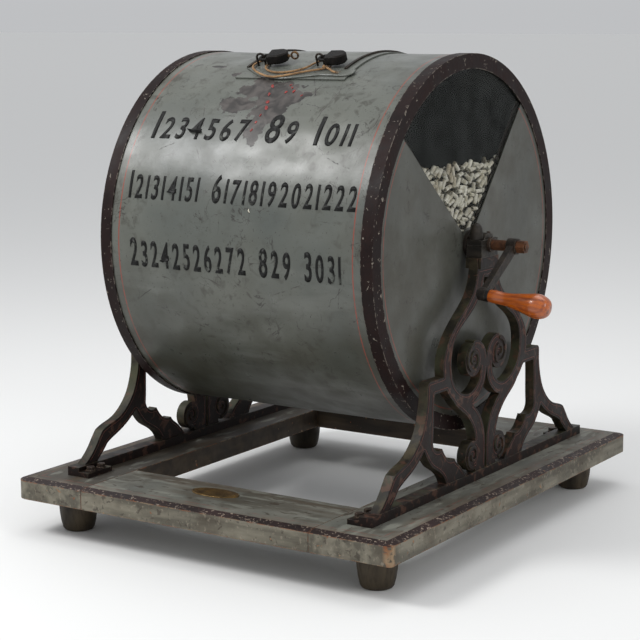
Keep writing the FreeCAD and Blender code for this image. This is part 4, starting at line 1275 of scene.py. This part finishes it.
def floor():
    mesh = bpy.data.meshes.new("floor")
    corners = [(x * FLOOR_HALF, y * FLOOR_HALF, 0) for x, y in ((-1, -1), (1, -1), (1, 1), (-1, 1))]
    mesh.from_pydata(corners, [], [(0, 1, 2, 3)])
    made = linked("floor", mesh)
    Surface("floor", roughness=0.9).set("Base Color", (0.8, 0.8, 0.79, 1))
    mesh.materials.append(MATERIALS["floor"])


def lamp(name, place, target, size, power):
    light = bpy.data.lights.new(name, "AREA")
    light.shape = "RECTANGLE"
    light.size, light.size_y = size
    light.energy = power
    made = linked(name, light)
    made.location = place
    made.rotation_mode = "QUATERNION"
    made.rotation_quaternion = (Vector(target) - Vector(place)).to_track_quat("-Z", "Y")


def studio():
    floor()
    lamp("key_light", (-1.35, -1.5, 2.2), (0, 0, 0.45), (1.0, 0.8), 42)
    lamp("top_light", (0.3, 0.6, 3.0), (0, 0, 0.4), (2.2, 1.6), 20)
    lamp("side_light", (2.8, -0.6, 1.5), (0.2, 0, 0.4), (1.0, 1.4), 16)
    world = bpy.data.worlds.new("studio")
    world.use_nodes = True
    tree = world.node_tree
    place = tree.nodes.new("ShaderNodeTexCoord")
    split = tree.nodes.new("ShaderNodeSeparateXYZ")
    height = tree.nodes.new("ShaderNodeMapRange")
    strength = tree.nodes["Background"].inputs["Strength"]
    tree.links.new(place.outputs["Generated"], split.inputs[0])
    tree.links.new(split.outputs[2], height.inputs["Value"])
    for index, value in enumerate((0.0, 0.25, WORLD_AT_HORIZON, WORLD_ABOVE), 1):
        height.inputs[index].default_value = value
    tree.links.new(height.outputs[0], strength)
    tree.nodes["Background"].inputs["Color"].default_value = (0.96, 0.975, 1.0, 1)
    bpy.context.scene.world = world


def camera():
    data = bpy.data.cameras.new("camera")
    data.lens = CAMERA_LENS
    data.sensor_width = 36.0
    data.clip_end = 200.0
    made = linked("camera", data)
    azimuth, elevation, roll = (math.radians(a) for a in CAMERA_ANGLES)
    level = math.cos(elevation)
    back = Vector((math.sin(azimuth) * level, -math.cos(azimuth) * level, math.sin(elevation)))
    made.location = CAMERA_PLACE
    made.rotation_mode = "QUATERNION"
    made.rotation_quaternion = (-back).to_track_quat("-Z", "Y") @ Quaternion((0, 0, 1), roll)
    bpy.context.scene.camera = made


studio()
camera()
bpy.context.scene.view_settings.view_transform = "Standard"
